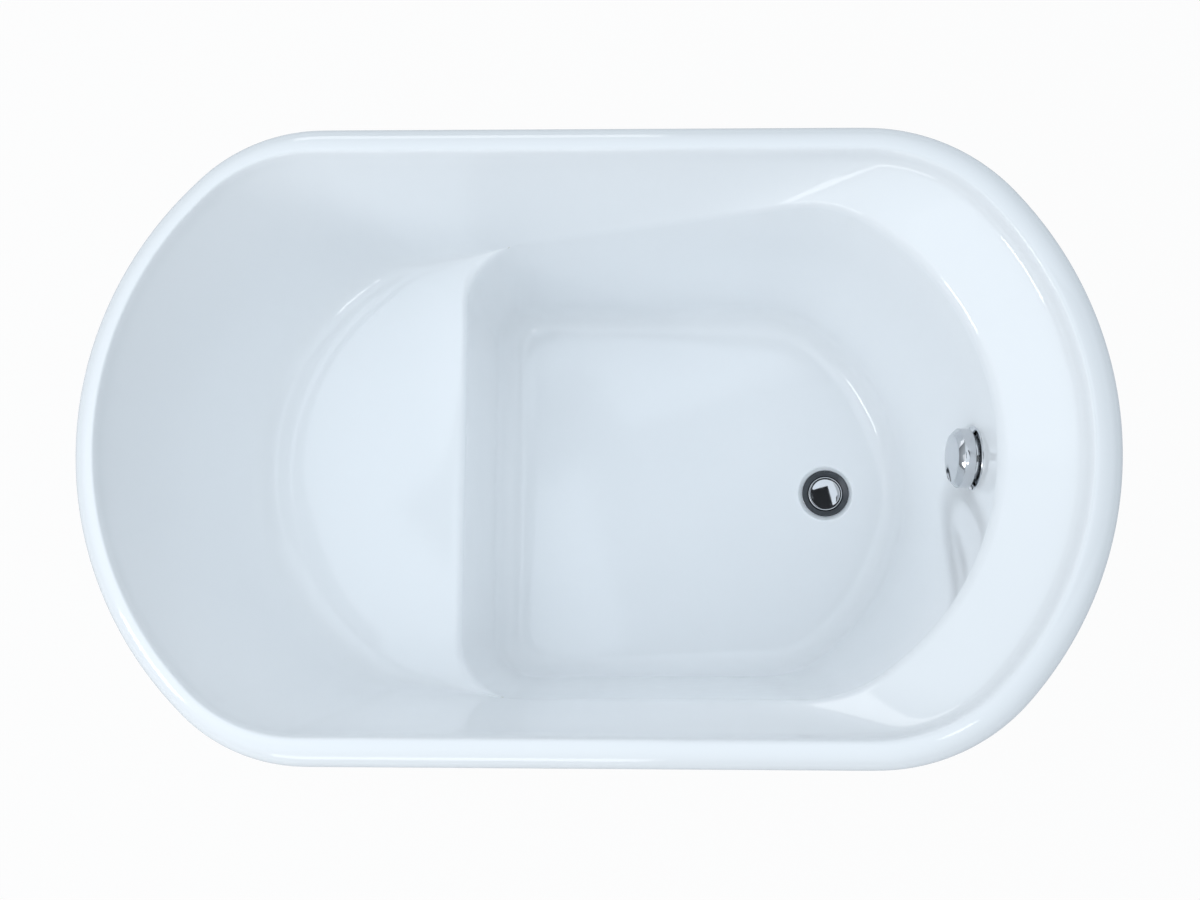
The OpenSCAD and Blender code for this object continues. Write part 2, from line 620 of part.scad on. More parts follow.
module waste_body() color(plastic) {
    difference() {
        union() {
            at_drain(waste_top_z - waste_lip_t) cylinder(r = seal_r + 2, h = waste_lip_t);
            at_drain(bowl_z) cylinder(r = waste_r, h = waste_top_z - waste_lip_t / 2 - bowl_z);
            at_drain(bowl_z - socket_l) cylinder(r = outlet_d / 2 + loose + body_wall, h = socket_l + 1);
            out_of_inlet(hose_bore / 2 + body_wall, inlet_end_x - drain_x);
            out_of_gland(gland_r, waste_r + gland_l);
        }
        at_drain(waste_top_z - waste_neck_l - 1) cylinder(r = sleeve_r + loose, h = waste_neck_l + 2);
        at_drain(bowl_z + body_wall)
            cylinder(r = waste_r - body_wall, h = waste_top_z - waste_neck_l - bowl_z - body_wall);
        at_drain(bowl_z - 1) cylinder(r = outlet_bore_r, h = body_wall + 2);
        at_drain(bowl_z - socket_l - 1) cylinder(r = outlet_d / 2 + loose, h = socket_l + 1);
        out_of_inlet(hose_bore / 2, inlet_end_x - drain_x + 1);
        out_of_gland(wire_r, waste_r + gland_l + 1);
    }
    at_drain(bowl_z) spider(outlet_bore_r, pin_r + 4, pin_r + running, pin_hub_l);
}

// Plug: a domed cap, its seal, and a stem that slides in the flange's hub and rests on the lift pin
plug_z = seat_z + 1.3;
plug_r = plug_d / 2;
cap_under = 1;
seal_lip = throat_r + 0.6;
stem_head_r = stem_r + 3;
stem_foot_z = hub_z - plug_lift - 1;
module plug_cap() color(chrome) at_drain(plug_z) rotate_extrude() polygon(concat(
    [[0, -cap_under], [stem_head_r, -cap_under], [plug_r - 2, 0.4], [plug_r, 1], [plug_r, 2.6],
     [plug_r - 1.2, 3.2]],
    [for (i = [0:6]) let (r = (plug_r - 2) * (1 - i / 6)) [r, 2.8 + 1.6 * (1 - pow(r / plug_r, 2))]]));
module plug_seal() color(rubber) at_drain(plug_z) rotate_extrude() polygon([
    [stem_head_r + 1, -cap_under - running], [stem_head_r + 1, -2.4], [throat_r - 0.4, -2.4], [seal_lip, -1.3],
    [seal_lip, -0.1]]);
module plug_stem() color(plastic) at_drain(0) {
    translate([0, 0, stem_foot_z]) cylinder(r = stem_r, h = plug_z - cap_under - stem_foot_z);
    translate([0, 0, plug_z - cap_under - 3]) cylinder(r = stem_head_r, h = 3);
}
// The pin stays in its guide when it has risen by the plug's travel
pin_foot_z = bowl_z;
pin_top_z = stem_foot_z - bond;
module lift_pin() color(steel) at_drain(0) {
    translate([0, 0, pin_foot_z]) cylinder(r = pin_r, h = pin_top_z - pin_foot_z);
    translate([0, 0, pin_top_z - 3]) cylinder(r = pin_r + 1.5, h = 3);
}

pipe_wall = 2;
pipe_foot_z = 10;
pipe_nut_l = 12;
// A groove round the pipe marks how far a drain's socket goes over it
spigot_l = 14;
groove_w = 1.2;
groove_depth = 0.5;
module outlet_pipe() color(plastic) at_drain(pipe_foot_z) difference() {
    ring(outlet_d / 2, outlet_d / 2 - pipe_wall, bowl_z - 1 - pipe_foot_z);
    translate([0, 0, spigot_l]) ring(outlet_d, outlet_d / 2 - groove_depth, groove_w);
}
module outlet_nut() color(plastic) at_drain(bowl_z - socket_l - pipe_nut_l / 2) difference() {
    union() {
        cylinder(r = outlet_d / 2 + 9, h = pipe_nut_l - 2, $fn = 12);
        cylinder(r = outlet_d / 2 + 8, h = pipe_nut_l);
    }
    translate([0, 0, -1]) cylinder(r = outlet_d / 2 + running, h = pipe_nut_l + 2);
    translate([0, 0, pipe_nut_l / 2]) cylinder(r = outlet_d / 2 + body_wall + 2 * loose, h = pipe_nut_l);
}

// Overflow, in the frame of at_overflow: the wall's face is at 0 and its back at -shell_t
ring_t = 3;
ring_sleeve_r = hole_d / 2 - 1.5;
ring_sleeve_l = 22;
ring_throat_r = ring_sleeve_r - 3;
module overflow_ring() color(chrome) at_overflow() {
    rotate_extrude() polygon([
        [ring_d / 2, 0], [ring_d / 2, ring_t * 0.5], [ring_d / 2 - 1.5, ring_t], [ring_throat_r, ring_t],
        [ring_throat_r, -ring_sleeve_l], [ring_sleeve_r, -ring_sleeve_l], [ring_sleeve_r, 0]]);
    translate([0, 0, -hub_l]) spider(ring_throat_r, hub_r, stem_r + running, hub_l);
}
// The overflow body hangs behind the wall: a cup with a hose tube down and a cable gland at its back
cup_top = -shell_t - seal_t;
cup_lip_t = 4;
cup_neck_l = 12;
cup_r = 30;
cup_outlet_l = 60;
hose_nut_r = hose_d / 2 + 4;
cup_mid = -shell_t - hose_nut_r - 2;
wire_z = cup_mid - hose_nut_r - cable_d / 2 - 1.5;
crank_t = 6;
crank_z = wire_z - crank_t / 2;
cup_back = crank_z - 4 - body_wall;
crank_r = plug_lift / (2 * sin(knob_turn / 2));
gland_foot = -cup_r - gland_l;
module overflow_gasket() color(rubber) at_overflow() translate([0, 0, cup_top])
    ring(seal_r, ring_sleeve_r + loose, seal_t);
module down_from_cup(y, z, r, l) translate([0, y, z]) rotate([0, -90, 0]) cylinder(r = r, h = l);
module overflow_body() color(plastic) at_overflow() difference() {
    union() {
        translate([0, 0, cup_top - cup_lip_t]) cylinder(r = seal_r + 1, h = cup_lip_t);
        translate([0, 0, cup_back]) cylinder(r = cup_r, h = cup_top - cup_lip_t / 2 - cup_back);
        down_from_cup(0, cup_mid, hose_bore / 2 + body_wall, cup_outlet_l);
        down_from_cup(crank_r, wire_z, gland_r, -gland_foot);
    }
    translate([0, 0, cup_top - cup_neck_l - 1]) cylinder(r = ring_sleeve_r + loose, h = cup_neck_l + 2);
    translate([0, 0, cup_back + body_wall])
        cylinder(r = cup_r - body_wall, h = cup_top - cup_neck_l - cup_back - body_wall);
    down_from_cup(0, cup_mid, hose_bore / 2, cup_outlet_l + 1);
    down_from_cup(crank_r, wire_z, wire_r, 1 - gland_foot);
}
knob_base = ring_t + knob_gap;
knob_wall = 2.5;
knob_face_r = knob_d / 2 - 7;
knob_dome = 1.5;
module overflow_knob() color(chrome) at_overflow() translate([0, 0, knob_base]) {
    rotate_extrude() polygon(concat(
        [[knob_d / 2 - knob_wall, 0], [knob_d / 2, 0], [knob_d / 2, knob_depth * 0.62],
         [knob_face_r, knob_depth - knob_dome]],
        [for (i = [1:6]) let (share = 1 - i / 6) [share * knob_face_r, knob_depth - knob_dome * share * share]],
        [[0, knob_depth - knob_wall - knob_dome], [knob_face_r - 1, knob_depth - knob_wall - knob_dome - 1],
         [knob_d / 2 - knob_wall, knob_depth * 0.58]]));
    translate([0, 0, 1]) ring(stem_r + 4, stem_r + running, knob_depth - knob_wall - 2);
}
spindle_foot = crank_z - 2;
spindle_top = knob_base + knob_depth - knob_wall - knob_dome - 1.5;
module knob_spindle() color(steel) at_overflow() translate([0, 0, spindle_foot])
    cylinder(r = stem_r, h = spindle_top - spindle_foot);
// The crank's eye swings as far above the cable's line as below it
module cable_crank() color(plastic) at_overflow() translate([0, 0, crank_z]) rotate(-knob_turn / 2)
    difference() {
        union() {
            cylinder(r = stem_r + 3, h = crank_t);
            translate([-wire_r * 2, 0, 0]) cube([wire_r * 4, crank_r + 3, crank_t]);
            translate([0, crank_r + 3, 0]) cylinder(r = wire_r * 2, h = crank_t);
        }
        translate([0, 0, -1]) cylinder(r = stem_r + running, h = crank_t + 2);
    }

// Hose: down behind the end wall, round under the footwell and into the side of the waste body
hose_top = from_overflow([-cup_outlet_l - running, 0, cup_mid]);
hose_down = [-sin(wall_tilt), 0, -cos(wall_tilt)];
hose_straight = hose_d + 2;
bend_c = [inlet_end_x + hose_straight, 0, inlet_z + hose_bend_r];
hose_p1 = hose_top + hose_down * hose_straight;
hose_p4 = bend_c + [hose_bend_r, 0, 0];
hose_pull = (hose_p1[2] - hose_p4[2]) / 3;
hose_p2 = hose_p1 + hose_down * hose_pull;
hose_p3 = hose_p4 + [0, 0, hose_pull];
drop_ribs = floor(hose_ribs * 0.6);
bend_ribs = hose_ribs - drop_ribs;
function drop_at(t) = let (u = 1 - t)
    hose_p1 * u * u * u + hose_p2 * 3 * t * u * u + hose_p3 * 3 * t * t * u + hose_p4 * t * t * t;
function bend_at(t) = bend_c + hose_bend_r * [cos(90 * t), 0, -sin(90 * t)];
hose_route = concat(
    [hose_top, hose_p1 - hose_down],
    [for (i = [0:2 * drop_ribs - 1]) drop_at(i / (2 * drop_ribs))],
    [for (i = [0:2 * bend_ribs]) bend_at(i / (2 * bend_ribs))],
    [[bend_c[0] - 1, 0, inlet_z], [inlet_end_x, 0, inlet_z]]);
HOSE_RINGS = len(hose_route);
HOSE_SIDES = 8;
function heading(route, i) = i == 0 ? unit(route[1] - route[0])
    : i == len(route) - 1 ? unit(route[i] - route[i - 1]) : unit(route[i + 1] - route[i - 1]);
// A ring of points about a route that has +side as its steady sideways direction
function tube_ring(p, d, side, r, n) = let (u = unit(side - d * (side * d)), v = cross(d, u))
    [for (j = [0:n - 1]) p + r * (u * cos(360 * j / n) + v * sin(360 * j / n))];
hose_root = 2.5;
hose_end_r = hose_d / 2 - hose_root;
function hose_radius(i) = i < 2 || i > HOSE_RINGS - 3 || i % 2 == 1 ? hose_end_r : hose_d / 2;
function hose_ring(i, r) = tube_ring(hose_route[i], heading(hose_route, i), [0, 1, 0], r, HOSE_SIDES);
hose_inner = concat([HOSE_RINGS - 1], [for (i = [HOSE_RINGS - 3:-4:2]) i], [0]);
module overflow_hose() color([0.88, 0.88, 0.86]) polyhedron(
    points = concat(
        [for (i = [0:HOSE_RINGS - 1]) each hose_ring(i, hose_radius(i))],
        [for (i = hose_inner) each hose_ring(i, hose_bore / 2)]),
    faces = ring_faces(HOSE_RINGS + len(hose_inner), HOSE_SIDES), convexity = 10);

hose_nut_l = 24;
module hose_nut() difference() {
    cylinder(r = hose_nut_r, h = hose_nut_l, $fn = 12);
    translate([0, 0, -1]) cylinder(r = hose_end_r + bond, h = hose_nut_l + 2);
}
module hose_nut_top() color(plastic) at_overflow()
    translate([-cup_outlet_l - hose_nut_l / 2, 0, cup_mid]) rotate([0, 90, 0]) hose_nut();
module hose_nut_bottom() color(plastic)
    translate([inlet_end_x - hose_nut_l / 2, 0, inlet_z]) rotate([0, 90, 0]) hose_nut();

// Control cable: from the overflow body's gland, beside the hose, to the waste body's gland
cable_top = from_overflow([gland_foot, crank_r, wire_z]);
cable_foot_dir = [cos(cable_turn), sin(cable_turn), 0];
cable_foot = [drain_x, 0, cable_gland_z] + cable_foot_dir * (waste_r + gland_l);
// Places along the hose's drop and its bend, and how far the cable lies from the hose's middle there
beside_drop = [[0.12, [32, 17, 0]], [0.47, [26, 28, 0]], [0.8, [13, 36, 0]]];
beside_bend = [[0.15, [-5, 42, 0]], [0.55, [-15, 46, 0]], [1, [0, 46, -5]]];
cable_points = concat(
    [cable_top, cable_top + hose_down * 25],
    [for (q = beside_drop) drop_at(q[0]) + q[1]],
    [for (q = beside_bend) bend_at(q[0]) + q[1]],
    [cable_foot + cable_foot_dir * 16, cable_foot]);
function spline(p, i, t) = let (a = p[max(i - 1, 0)], b = p[i], c = p[i + 1], d = p[min(i + 2, len(p) - 1)])
    0.5 * (2 * b + (c - a) * t + (2 * a - 5 * b + 4 * c - d) * t * t + (3 * b - a - 3 * c + d) * t * t * t);
cable_route = concat(
    [for (i = [0:len(cable_points) - 2], s = [0:3]) spline(cable_points, i, s / 4)],
    [cable_foot]);
module control_cable() color(rubber) {
    n = len(cable_route);
    way = [for (i = [0:n - 1]) i == 0 ? hose_down : i == n - 1 ? -cable_foot_dir : heading(cable_route, i)];
    polyhedron(
        points = [for (i = [0:n - 1]) each tube_ring(cable_route[i], way[i], [0.3, 1, 0.2], cable_d / 2, 8)],
        faces = concat(
            [for (k = [0:n - 2], j = [0:7]) let (j2 = (j + 1) % 8) each [
                [k * 8 + j, k * 8 + j2, (k + 1) * 8 + j2], [k * 8 + j, (k + 1) * 8 + j2, (k + 1) * 8 + j]]],
            [[for (j = [7:-1:0]) j]],
            [[for (j = [0:7]) (n - 1) * 8 + j]]), convexity = 10);
}

inner_basin();
outer_skirt();
floor_board();
seat_board();
base_frame();
seat_posts();
skirt_brackets();
bracket_bolts();
board_screws();
foot_nuts();
foot_pad(1);  // foot_pad_1
foot_pad(2);  // foot_pad_2
foot_pad(3);  // foot_pad_3
foot_pad(4);  // foot_pad_4
foot_stud(1);  // foot_stud_1
foot_stud(2);  // foot_stud_2
foot_stud(3);  // foot_stud_3
foot_stud(4);  // foot_stud_4
drain_gasket();
drain_flange();
drain_seal();
waste_body();
plug_cap();
plug_seal();
plug_stem();
lift_pin();
outlet_pipe();
outlet_nut();
overflow_ring();
overflow_gasket();
overflow_body();
overflow_knob();
knob_spindle();
cable_crank();
overflow_hose();
hose_nut_top();
hose_nut_bottom();
control_cable();
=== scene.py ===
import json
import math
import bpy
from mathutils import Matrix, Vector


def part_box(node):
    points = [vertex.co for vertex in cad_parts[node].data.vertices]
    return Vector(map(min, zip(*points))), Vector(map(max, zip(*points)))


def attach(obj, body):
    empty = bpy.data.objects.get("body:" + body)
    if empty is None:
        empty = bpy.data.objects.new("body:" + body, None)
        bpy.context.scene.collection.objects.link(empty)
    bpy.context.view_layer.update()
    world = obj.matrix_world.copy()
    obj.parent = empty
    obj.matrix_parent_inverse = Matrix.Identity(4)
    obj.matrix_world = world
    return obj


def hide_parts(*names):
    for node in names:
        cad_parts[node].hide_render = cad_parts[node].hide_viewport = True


bl_info = {
    "name": "Sit-in Bathtub",
    "version": (1, 0, 0),
    "blender": (4, 5, 0),
    "location": "3D View > Sidebar > Bathtub",
    "description": "Models and finishes a short acrylic bathtub with a seat, and lights it in a studio",
    "category": "Object",
}

import bmesh
import bpy
from bpy.props import FloatProperty, FloatVectorProperty, IntProperty, PointerProperty
from bpy.types import Operator, Panel, PropertyGroup
from mathutils import Matrix, Vector

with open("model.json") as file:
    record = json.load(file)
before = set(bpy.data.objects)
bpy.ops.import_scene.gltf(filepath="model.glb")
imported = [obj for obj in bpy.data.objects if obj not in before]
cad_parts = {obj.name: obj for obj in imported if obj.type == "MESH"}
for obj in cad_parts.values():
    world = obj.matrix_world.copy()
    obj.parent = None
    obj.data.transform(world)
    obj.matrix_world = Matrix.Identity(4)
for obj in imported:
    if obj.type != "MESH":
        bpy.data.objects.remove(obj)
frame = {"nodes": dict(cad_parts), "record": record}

# Steps round half an outline: far end, its corner, footwell side, seat side, back corner and back end
STEPS = (14, 12, 10, 14, 12, 10)
HALF = sum(STEPS)
SEAT_START = sum(STEPS[:3])

# The hub that guides a shaft, in the drain flange and in the overflow's base ring
HUB_R = 0.008
HUB_BORE = 0.00405
HUB_L = 0.006
SPOKE_W = 0.003

# How much smaller the flange's sleeve and the ring's sleeve are than the holes that they go through
SLEEVE_PLAY = 0.002
RING_PLAY = 0.0015

# Turns that lay local Z along the X axis, and against it
ALONG_X = Matrix.Rotation(math.pi / 2, 4, "Y")
AGAINST_X = Matrix.Rotation(-math.pi / 2, 4, "Y")


def length(name, description, default):
    """A size in metres that the sidebar shows."""
    return FloatProperty(name=name, description=description, default=default, unit="LENGTH", precision=4)


def number(name, description, default):
    """A plain number that the sidebar shows."""
    return FloatProperty(name=name, description=description, default=default)


def vector(name, description, default, subtype, unit="NONE"):
    """Three numbers that the sidebar shows."""
    return FloatVectorProperty(name=name, description=description, default=default, subtype=subtype,
                               unit=unit)


def colour(name, description, default):
    """A linear colour that the sidebar shows."""
    return FloatVectorProperty(name=name, description=description, default=default, size=3, subtype="COLOR",
                               min=0.0, max=1.0)


class BathRim(PropertyGroup):
    half_l: length("Half length", "From the middle to the rim's outer edge at either end", 0.610)
    half_w: length("Half width", "From the middle to the rim's outer edge at the sides", 0.3765)
    height: length("Height", "The rim's top above the floor", 0.650)
    foot_r: length("Drain end radius", "Radius of the rim's end at the drain", 0.446)
    foot_corner_r: length("Drain corner radius", "Radius of the corners at the drain end", 0.235)
    back_r: length("Back end radius", "Radius of the rim's end behind the seat", 0.437)
    back_corner_r: length("Back corner radius", "Radius of the corners behind the seat", 0.209)
    foot_w: length("Drain end width", "Width of the rim at the drain end", 0.046)
    side_w: length("Side width", "Width of the rim along the sides", 0.040)
    back_w: length("Back width", "Width of the rim behind the seat", 0.034)
    lip_h: length("Lip height", "Height of the turned-down outer edge", 0.050)
    roll_h: length("Roll", "Height that the outer edge takes to round over", 0.028)
    inner_drop: length("Inner drop", "Depth of the rim's inner edge below its top", 0.022)
    shell_t: length("Shell thickness", "Thickness of the reinforced shell", 0.007)


class BathSeat(PropertyGroup):
    height: length("Height", "The seat above the floor", 0.365)
    back_x: length("Back", "From the middle to the foot of the backrest", 0.448)
    back_r: length("Back radius", "Radius of the seat's back edge", 0.320)
    corner_r: length("Corner radius", "Radius of the seat's back corners", 0.110)
    half_w: length("Half width", "From the middle to the seat's sides", 0.283)
    fillet_up: length("Fillet up", "Length of the fillet on the backrest", 0.150)
    fillet_in: length("Fillet in", "Length of the fillet on the seat", 0.150)
    edge_r: length("Front rounding", "Rounding of the seat's front edge", 0.012)


class BathFootwell(PropertyGroup):
    front_x: length("Front", "From the middle back to the seat's front edge", 0.181)
    front_r: length("Front corners", "Radius of the footwell's corners at the seat", 0.075)
    shoulder_x: length("Shoulder end", "From the middle to the shoulder's far end", 0.478)
    shoulder_half_w: length("Shoulder half width", "From the middle to the shoulder's sides", 0.298)
    shoulder_r: length("Shoulder radius", "Radius of the shoulder's far end", 0.325)
    shoulder_corner_r: length("Shoulder corners", "Radius of the shoulder's far corners", 0.170)
    shoulder_drop: length("Shoulder drop", "Depth of the shoulder below the rim at the far end", 0.070)
    shoulder_slope: number("Shoulder slope", "Rise of the shoulder along the footwell", 0.5)
    shoulder_edge: length("Shoulder rounding", "Rounding of the shoulder", 0.012)
    floor_h: length("Floor height", "The footwell's floor above the ground, at the drain", 0.115)
    floor_fall: number("Fall", "Fall of the floor to the drain", 0.012)
    floor_x: length("Floor end", "From the middle to the floor's far end", 0.420)
    floor_half_w: length("Floor half width", "From the middle to the floor's sides", 0.262)
    floor_end_r: length("Floor end radius", "Radius of the floor's far end", 0.290)
    floor_corner_r: length("Floor corners", "Radius of the floor's far corners", 0.130)
    riser_x: length("Riser", "From the middle back to the foot of the seat's riser", 0.152)
    riser_corner_r: length("Riser corners", "Radius of the floor's corners at the riser", 0.060)
    fillet: length("Floor fillet", "Fillet between the walls and the floor", 0.048)


class BathSkirt(PropertyGroup):
    foot_half_l: length("Foot half length", "From the middle to the skirt's ends at its foot", 0.505)
    foot_half_w: length("Foot half width", "From the middle to the skirt's sides at its foot", 0.305)
    end_r: length("End radius", "Radius of the skirt's ends at its foot", 0.380)
    corner_r: length("Corner radius", "Radius of the skirt's corners at its foot", 0.180)
    wall: length("Wall", "Wall thickness of the skirt", 0.005)
    gap: length("Gap", "Between the skirt's foot and the ground", 0.012)
    tuck: length("Tuck", "How far the skirt's top reaches up inside the rim", 0.012)
    foot_w: length("Turned-in foot", "Width of the skirt's turned-in foot", 0.024)


class BathWaste(PropertyGroup):
    drain_x: length("Drain", "From the middle to the drain", 0.317)
    flange_r: length("Flange radius", "Outer radius of the drain flange", 0.035)
    hole_r: length("Hole radius", "Radius of the holes in the floor and the end wall", 0.026)
    plug_r: length("Plug radius", "Radius of the plug's cap", 0.02435)
    recess_depth: length("Recess", "Depth of the recess that the flange sits in", 0.004)
    overflow_h: length("Overflow height", "The overflow's middle above the ground", 0.480)
    knob_r: length("Knob radius", "Radius of the overflow knob", 0.037)
    knob_depth: length("Knob depth", "Depth of the overflow knob", 0.022)
    knob_gap: length("Knob gap", "Gap behind the knob, where the water goes in", 0.005)
    ring_r: length("Ring radius", "Outer radius of the overflow's base ring", 0.041)
    ring_t: length("Ring thickness", "Thickness of the overflow's base ring", 0.003)
    hose_r: length("Hose radius", "Outer radius of the overflow hose", 0.018)
    hose_bore_r: length("Hose bore", "Radius of the hose's bore", 0.0125)
    hose_root: length("Rib height", "Height of the hose's ribs", 0.0025)
    hose_ribs: IntProperty(name="Ribs", description="Number of ribs on the hose", default=48)
    cable_r: length("Cable radius", "Radius of the control cable", 0.0025)


class BathFrame(PropertyGroup):
    rail_z: length("Rails", "Underside of the frame's rails above the ground", 0.062)
    board_z: length("Boards", "Top of the frame's rails above the ground", 0.092)
    stud_r: length("Stud radius", "Radius of the feet's threaded studs", 0.006)
    stud_top: length("Stud top", "Top of the studs above the ground", 0.104)
    pitch: length("Thread pitch", "Rise of the studs' thread in one turn", 0.00175)
    pad_r: length("Pad radius", "Radius of the feet's rubber pads", 0.025)
    pad_h: length("Pad height", "Height of the feet's rubber pads", 0.010)
    nut_r: length("Nut radius", "From the middle of a foot's nut to its corners", 0.01104)
    nut_h: length("Nut height", "Height of a foot's nut", 0.008)
    bolt_r: length("Bolt radius", "Radius of the brackets' bolts", 0.003)


class BathColours(PropertyGroup):
    acrylic: colour("Acrylic", "The polished shell and skirt", (0.950, 0.968, 0.984))
    laminate: colour("Laminate", "The resin and glass fibre on the hidden faces", (0.62, 0.61, 0.52))
    chrome: colour("Chrome", "Drain and overflow fittings", (0.66, 0.67, 0.69))
    # Drain dish: a painted reflection. This dark colour stands in for the dark surroundings that the deep
    # dished chrome mirrors, and is not the metal's own colour
    dish: colour("Drain dish", "The drain flange's dished face, which looks dark", (0.085, 0.090, 0.098))
    zinc: colour("Zinc", "Frame, bolts and studs", (0.55, 0.57, 0.59))
    stainless: colour("Stainless", "Spindle and lift pin", (0.58, 0.58, 0.57))
    plywood: colour("Plywood", "Reinforcing boards", (0.50, 0.33, 0.17))
    rubber: colour("Rubber", "Seals and foot pads", (0.020, 0.020, 0.021))
    plastic: colour("Grey plastic", "Waste bodies, pipe and nuts", (0.075, 0.082, 0.090))
    hose: colour("Hose plastic", "Ribbed overflow hose", (0.66, 0.66, 0.62))
    sheath: colour("Cable sheath", "Control cable", (0.012, 0.012, 0.013))


class BathStudio(PropertyGroup):
    camera_place: vector("Camera", "Place of the camera", (0.07348, -0.30245, 2.619), "TRANSLATION", "LENGTH")
    camera_turn: vector("Camera turn", "Turn of the camera", (0.14521, 0.0326, 0.00569), "EULER")
    camera_lens: number("Lens", "Focal length of the camera, in millimetres", 51.99)
    sky: colour("Sky", "Colour of the light from all round", (0.84, 0.925, 1.0))
    sky_low: number("Sky, low", "Strength of the sky at the horizon", 0.04)
    sky_high: number("Sky, high", "Strength of the sky overhead", 1.22)
    box_level: number("Soft boxes", "Brightness of the soft boxes", 1.1)


GROUPS = {
    "bath_rim": BathRim,
    "bath_seat": BathSeat,
    "bath_footwell": BathFootwell,
    "bath_skirt": BathSkirt,
    "bath_waste": BathWaste,
    "bath_frame": BathFrame,
    "bath_colours": BathColours,
    "bath_studio": BathStudio,
}


def sizes(name):
    return getattr(bpy.context.scene, name)


# Outlines


def mix(a, b, t):
    return a * (1 - t) + b * t


def ease(t):
    return t * t * (3 - 2 * t)


def arc(x, y, r, start, end, steps):
    """Points along an arc, without its last one."""
    turns = [mix(start, end, i / steps) for i in range(steps)]
    return [Vector((x + r * math.cos(t), y + r * math.sin(t))) for t in turns]


def line(start, end, steps):
    """Points along a line, without its last one."""
    return [start.lerp(end, i / steps) for i in range(steps)]


def corner_dx(end_r, corner_r, half_w):
    return math.sqrt((end_r - corner_r) ** 2 - (half_w - corner_r) ** 2)


def corner_turn(end_r, corner_r, half_w):
    return math.atan2(half_w - corner_r, corner_dx(end_r, corner_r, half_w))


def end_steps(half_l, end_r, corner_r, half_w):
    """A far end of an outline: one wide arc that runs into the corner's arc."""
    x, turn = half_l - end_r, corner_turn(end_r, corner_r, half_w)
    corner_x = x + corner_dx(end_r, corner_r, half_w)
    return (arc(x, 0, end_r, 0, turn, STEPS[0])
            + arc(corner_x, half_w - corner_r, corner_r, turn, math.pi / 2, STEPS[1]))


def side_start(half_l, end_r, corner_r, half_w):
    return Vector((half_l - end_r + corner_dx(end_r, corner_r, half_w), half_w))


def back_steps(half_l, end_r, corner_r, half_w):
    x, turn = half_l - end_r, corner_turn(end_r, corner_r, half_w)
    corner_x = -x - corner_dx(end_r, corner_r, half_w)
    return (arc(corner_x, half_w - corner_r, corner_r, math.pi / 2, math.pi - turn, STEPS[4])
            + arc(-x, 0, end_r, math.pi - turn, math.pi, STEPS[5]) + [Vector((-half_l, 0))])


def round_half(split_x, foot, back, half_w):
    """Half of an outline right round the tub. foot and back are half length, end radius and corner radius."""
    start, end = side_start(*foot, half_w), side_start(*back, half_w)
    middle = Vector((split_x, half_w))
    return (end_steps(*foot, half_w) + line(start, middle, STEPS[2])
            + line(middle, Vector((-end.x, half_w)), STEPS[3]) + back_steps(*back, half_w))


def well_half(half_l, end_r, corner_r, half_w, front, front_r):
    """Half of an outline that goes round the footwell alone."""
    side_end = Vector((front_r - front, half_w))
    return (end_steps(half_l, end_r, corner_r, half_w)
            + line(side_start(half_l, end_r, corner_r, half_w), side_end, STEPS[2])
            + arc(front_r - front, half_w - front_r, front_r, math.pi / 2, math.pi, STEPS[3])
            + line(Vector((-front, half_w - front_r)), Vector((-front, 0)), STEPS[4] + STEPS[5])
            + [Vector((-front, 0))])


def whole(half):
    """Both halves of an outline, from the half with the positive Y."""
    return half + [Vector((p.x, -p.y, *p[2:])) for p in half[-2:0:-1]]


def curve(p, corner, q, count):
    """Points of a curve from p to q that heads for the corner at both ends."""
    shares = [i / (count - 1) for i in range(count)]
    return [p * (1 - t) ** 2 + corner * 2 * t * (1 - t) + q * t * t for t in shares]


def flowing(p, corner, q, count):
    """Points of a curve from p to q that leaves and meets the straight sides without a visible line."""
    ends = (p, (p + corner) / 2, corner, corner, (q + corner) / 2, q)
    shares = [i / (count - 1) for i in range(count)]
    return [sum((ends[k] * (math.comb(5, k) * (1 - t) ** (5 - k) * t ** k) for k in range(1, 6)),
                p * (1 - t) ** 5) for t in shares]


def rounded(a, corner, b, ta, tb, count, draw=curve):
    """Points of a soft corner between a and b."""
    p = corner + (a - corner).normalized() * min(ta, 0.48 * (a - corner).length)
    q = corner + (b - corner).normalized() * min(tb, 0.48 * (b - corner).length)
    return draw(p, corner, q, count)


def with_rows(points, rows):
    """Puts rows of points into the flat stretches that follow the given stations."""
    out = []
    for i, p in enumerate(points):
        out.append(p)
        count = rows.get(i, 0)
        out += [p.lerp(points[i + 1], (k + 1) / (count + 1)) for k in range(count)]
    return out


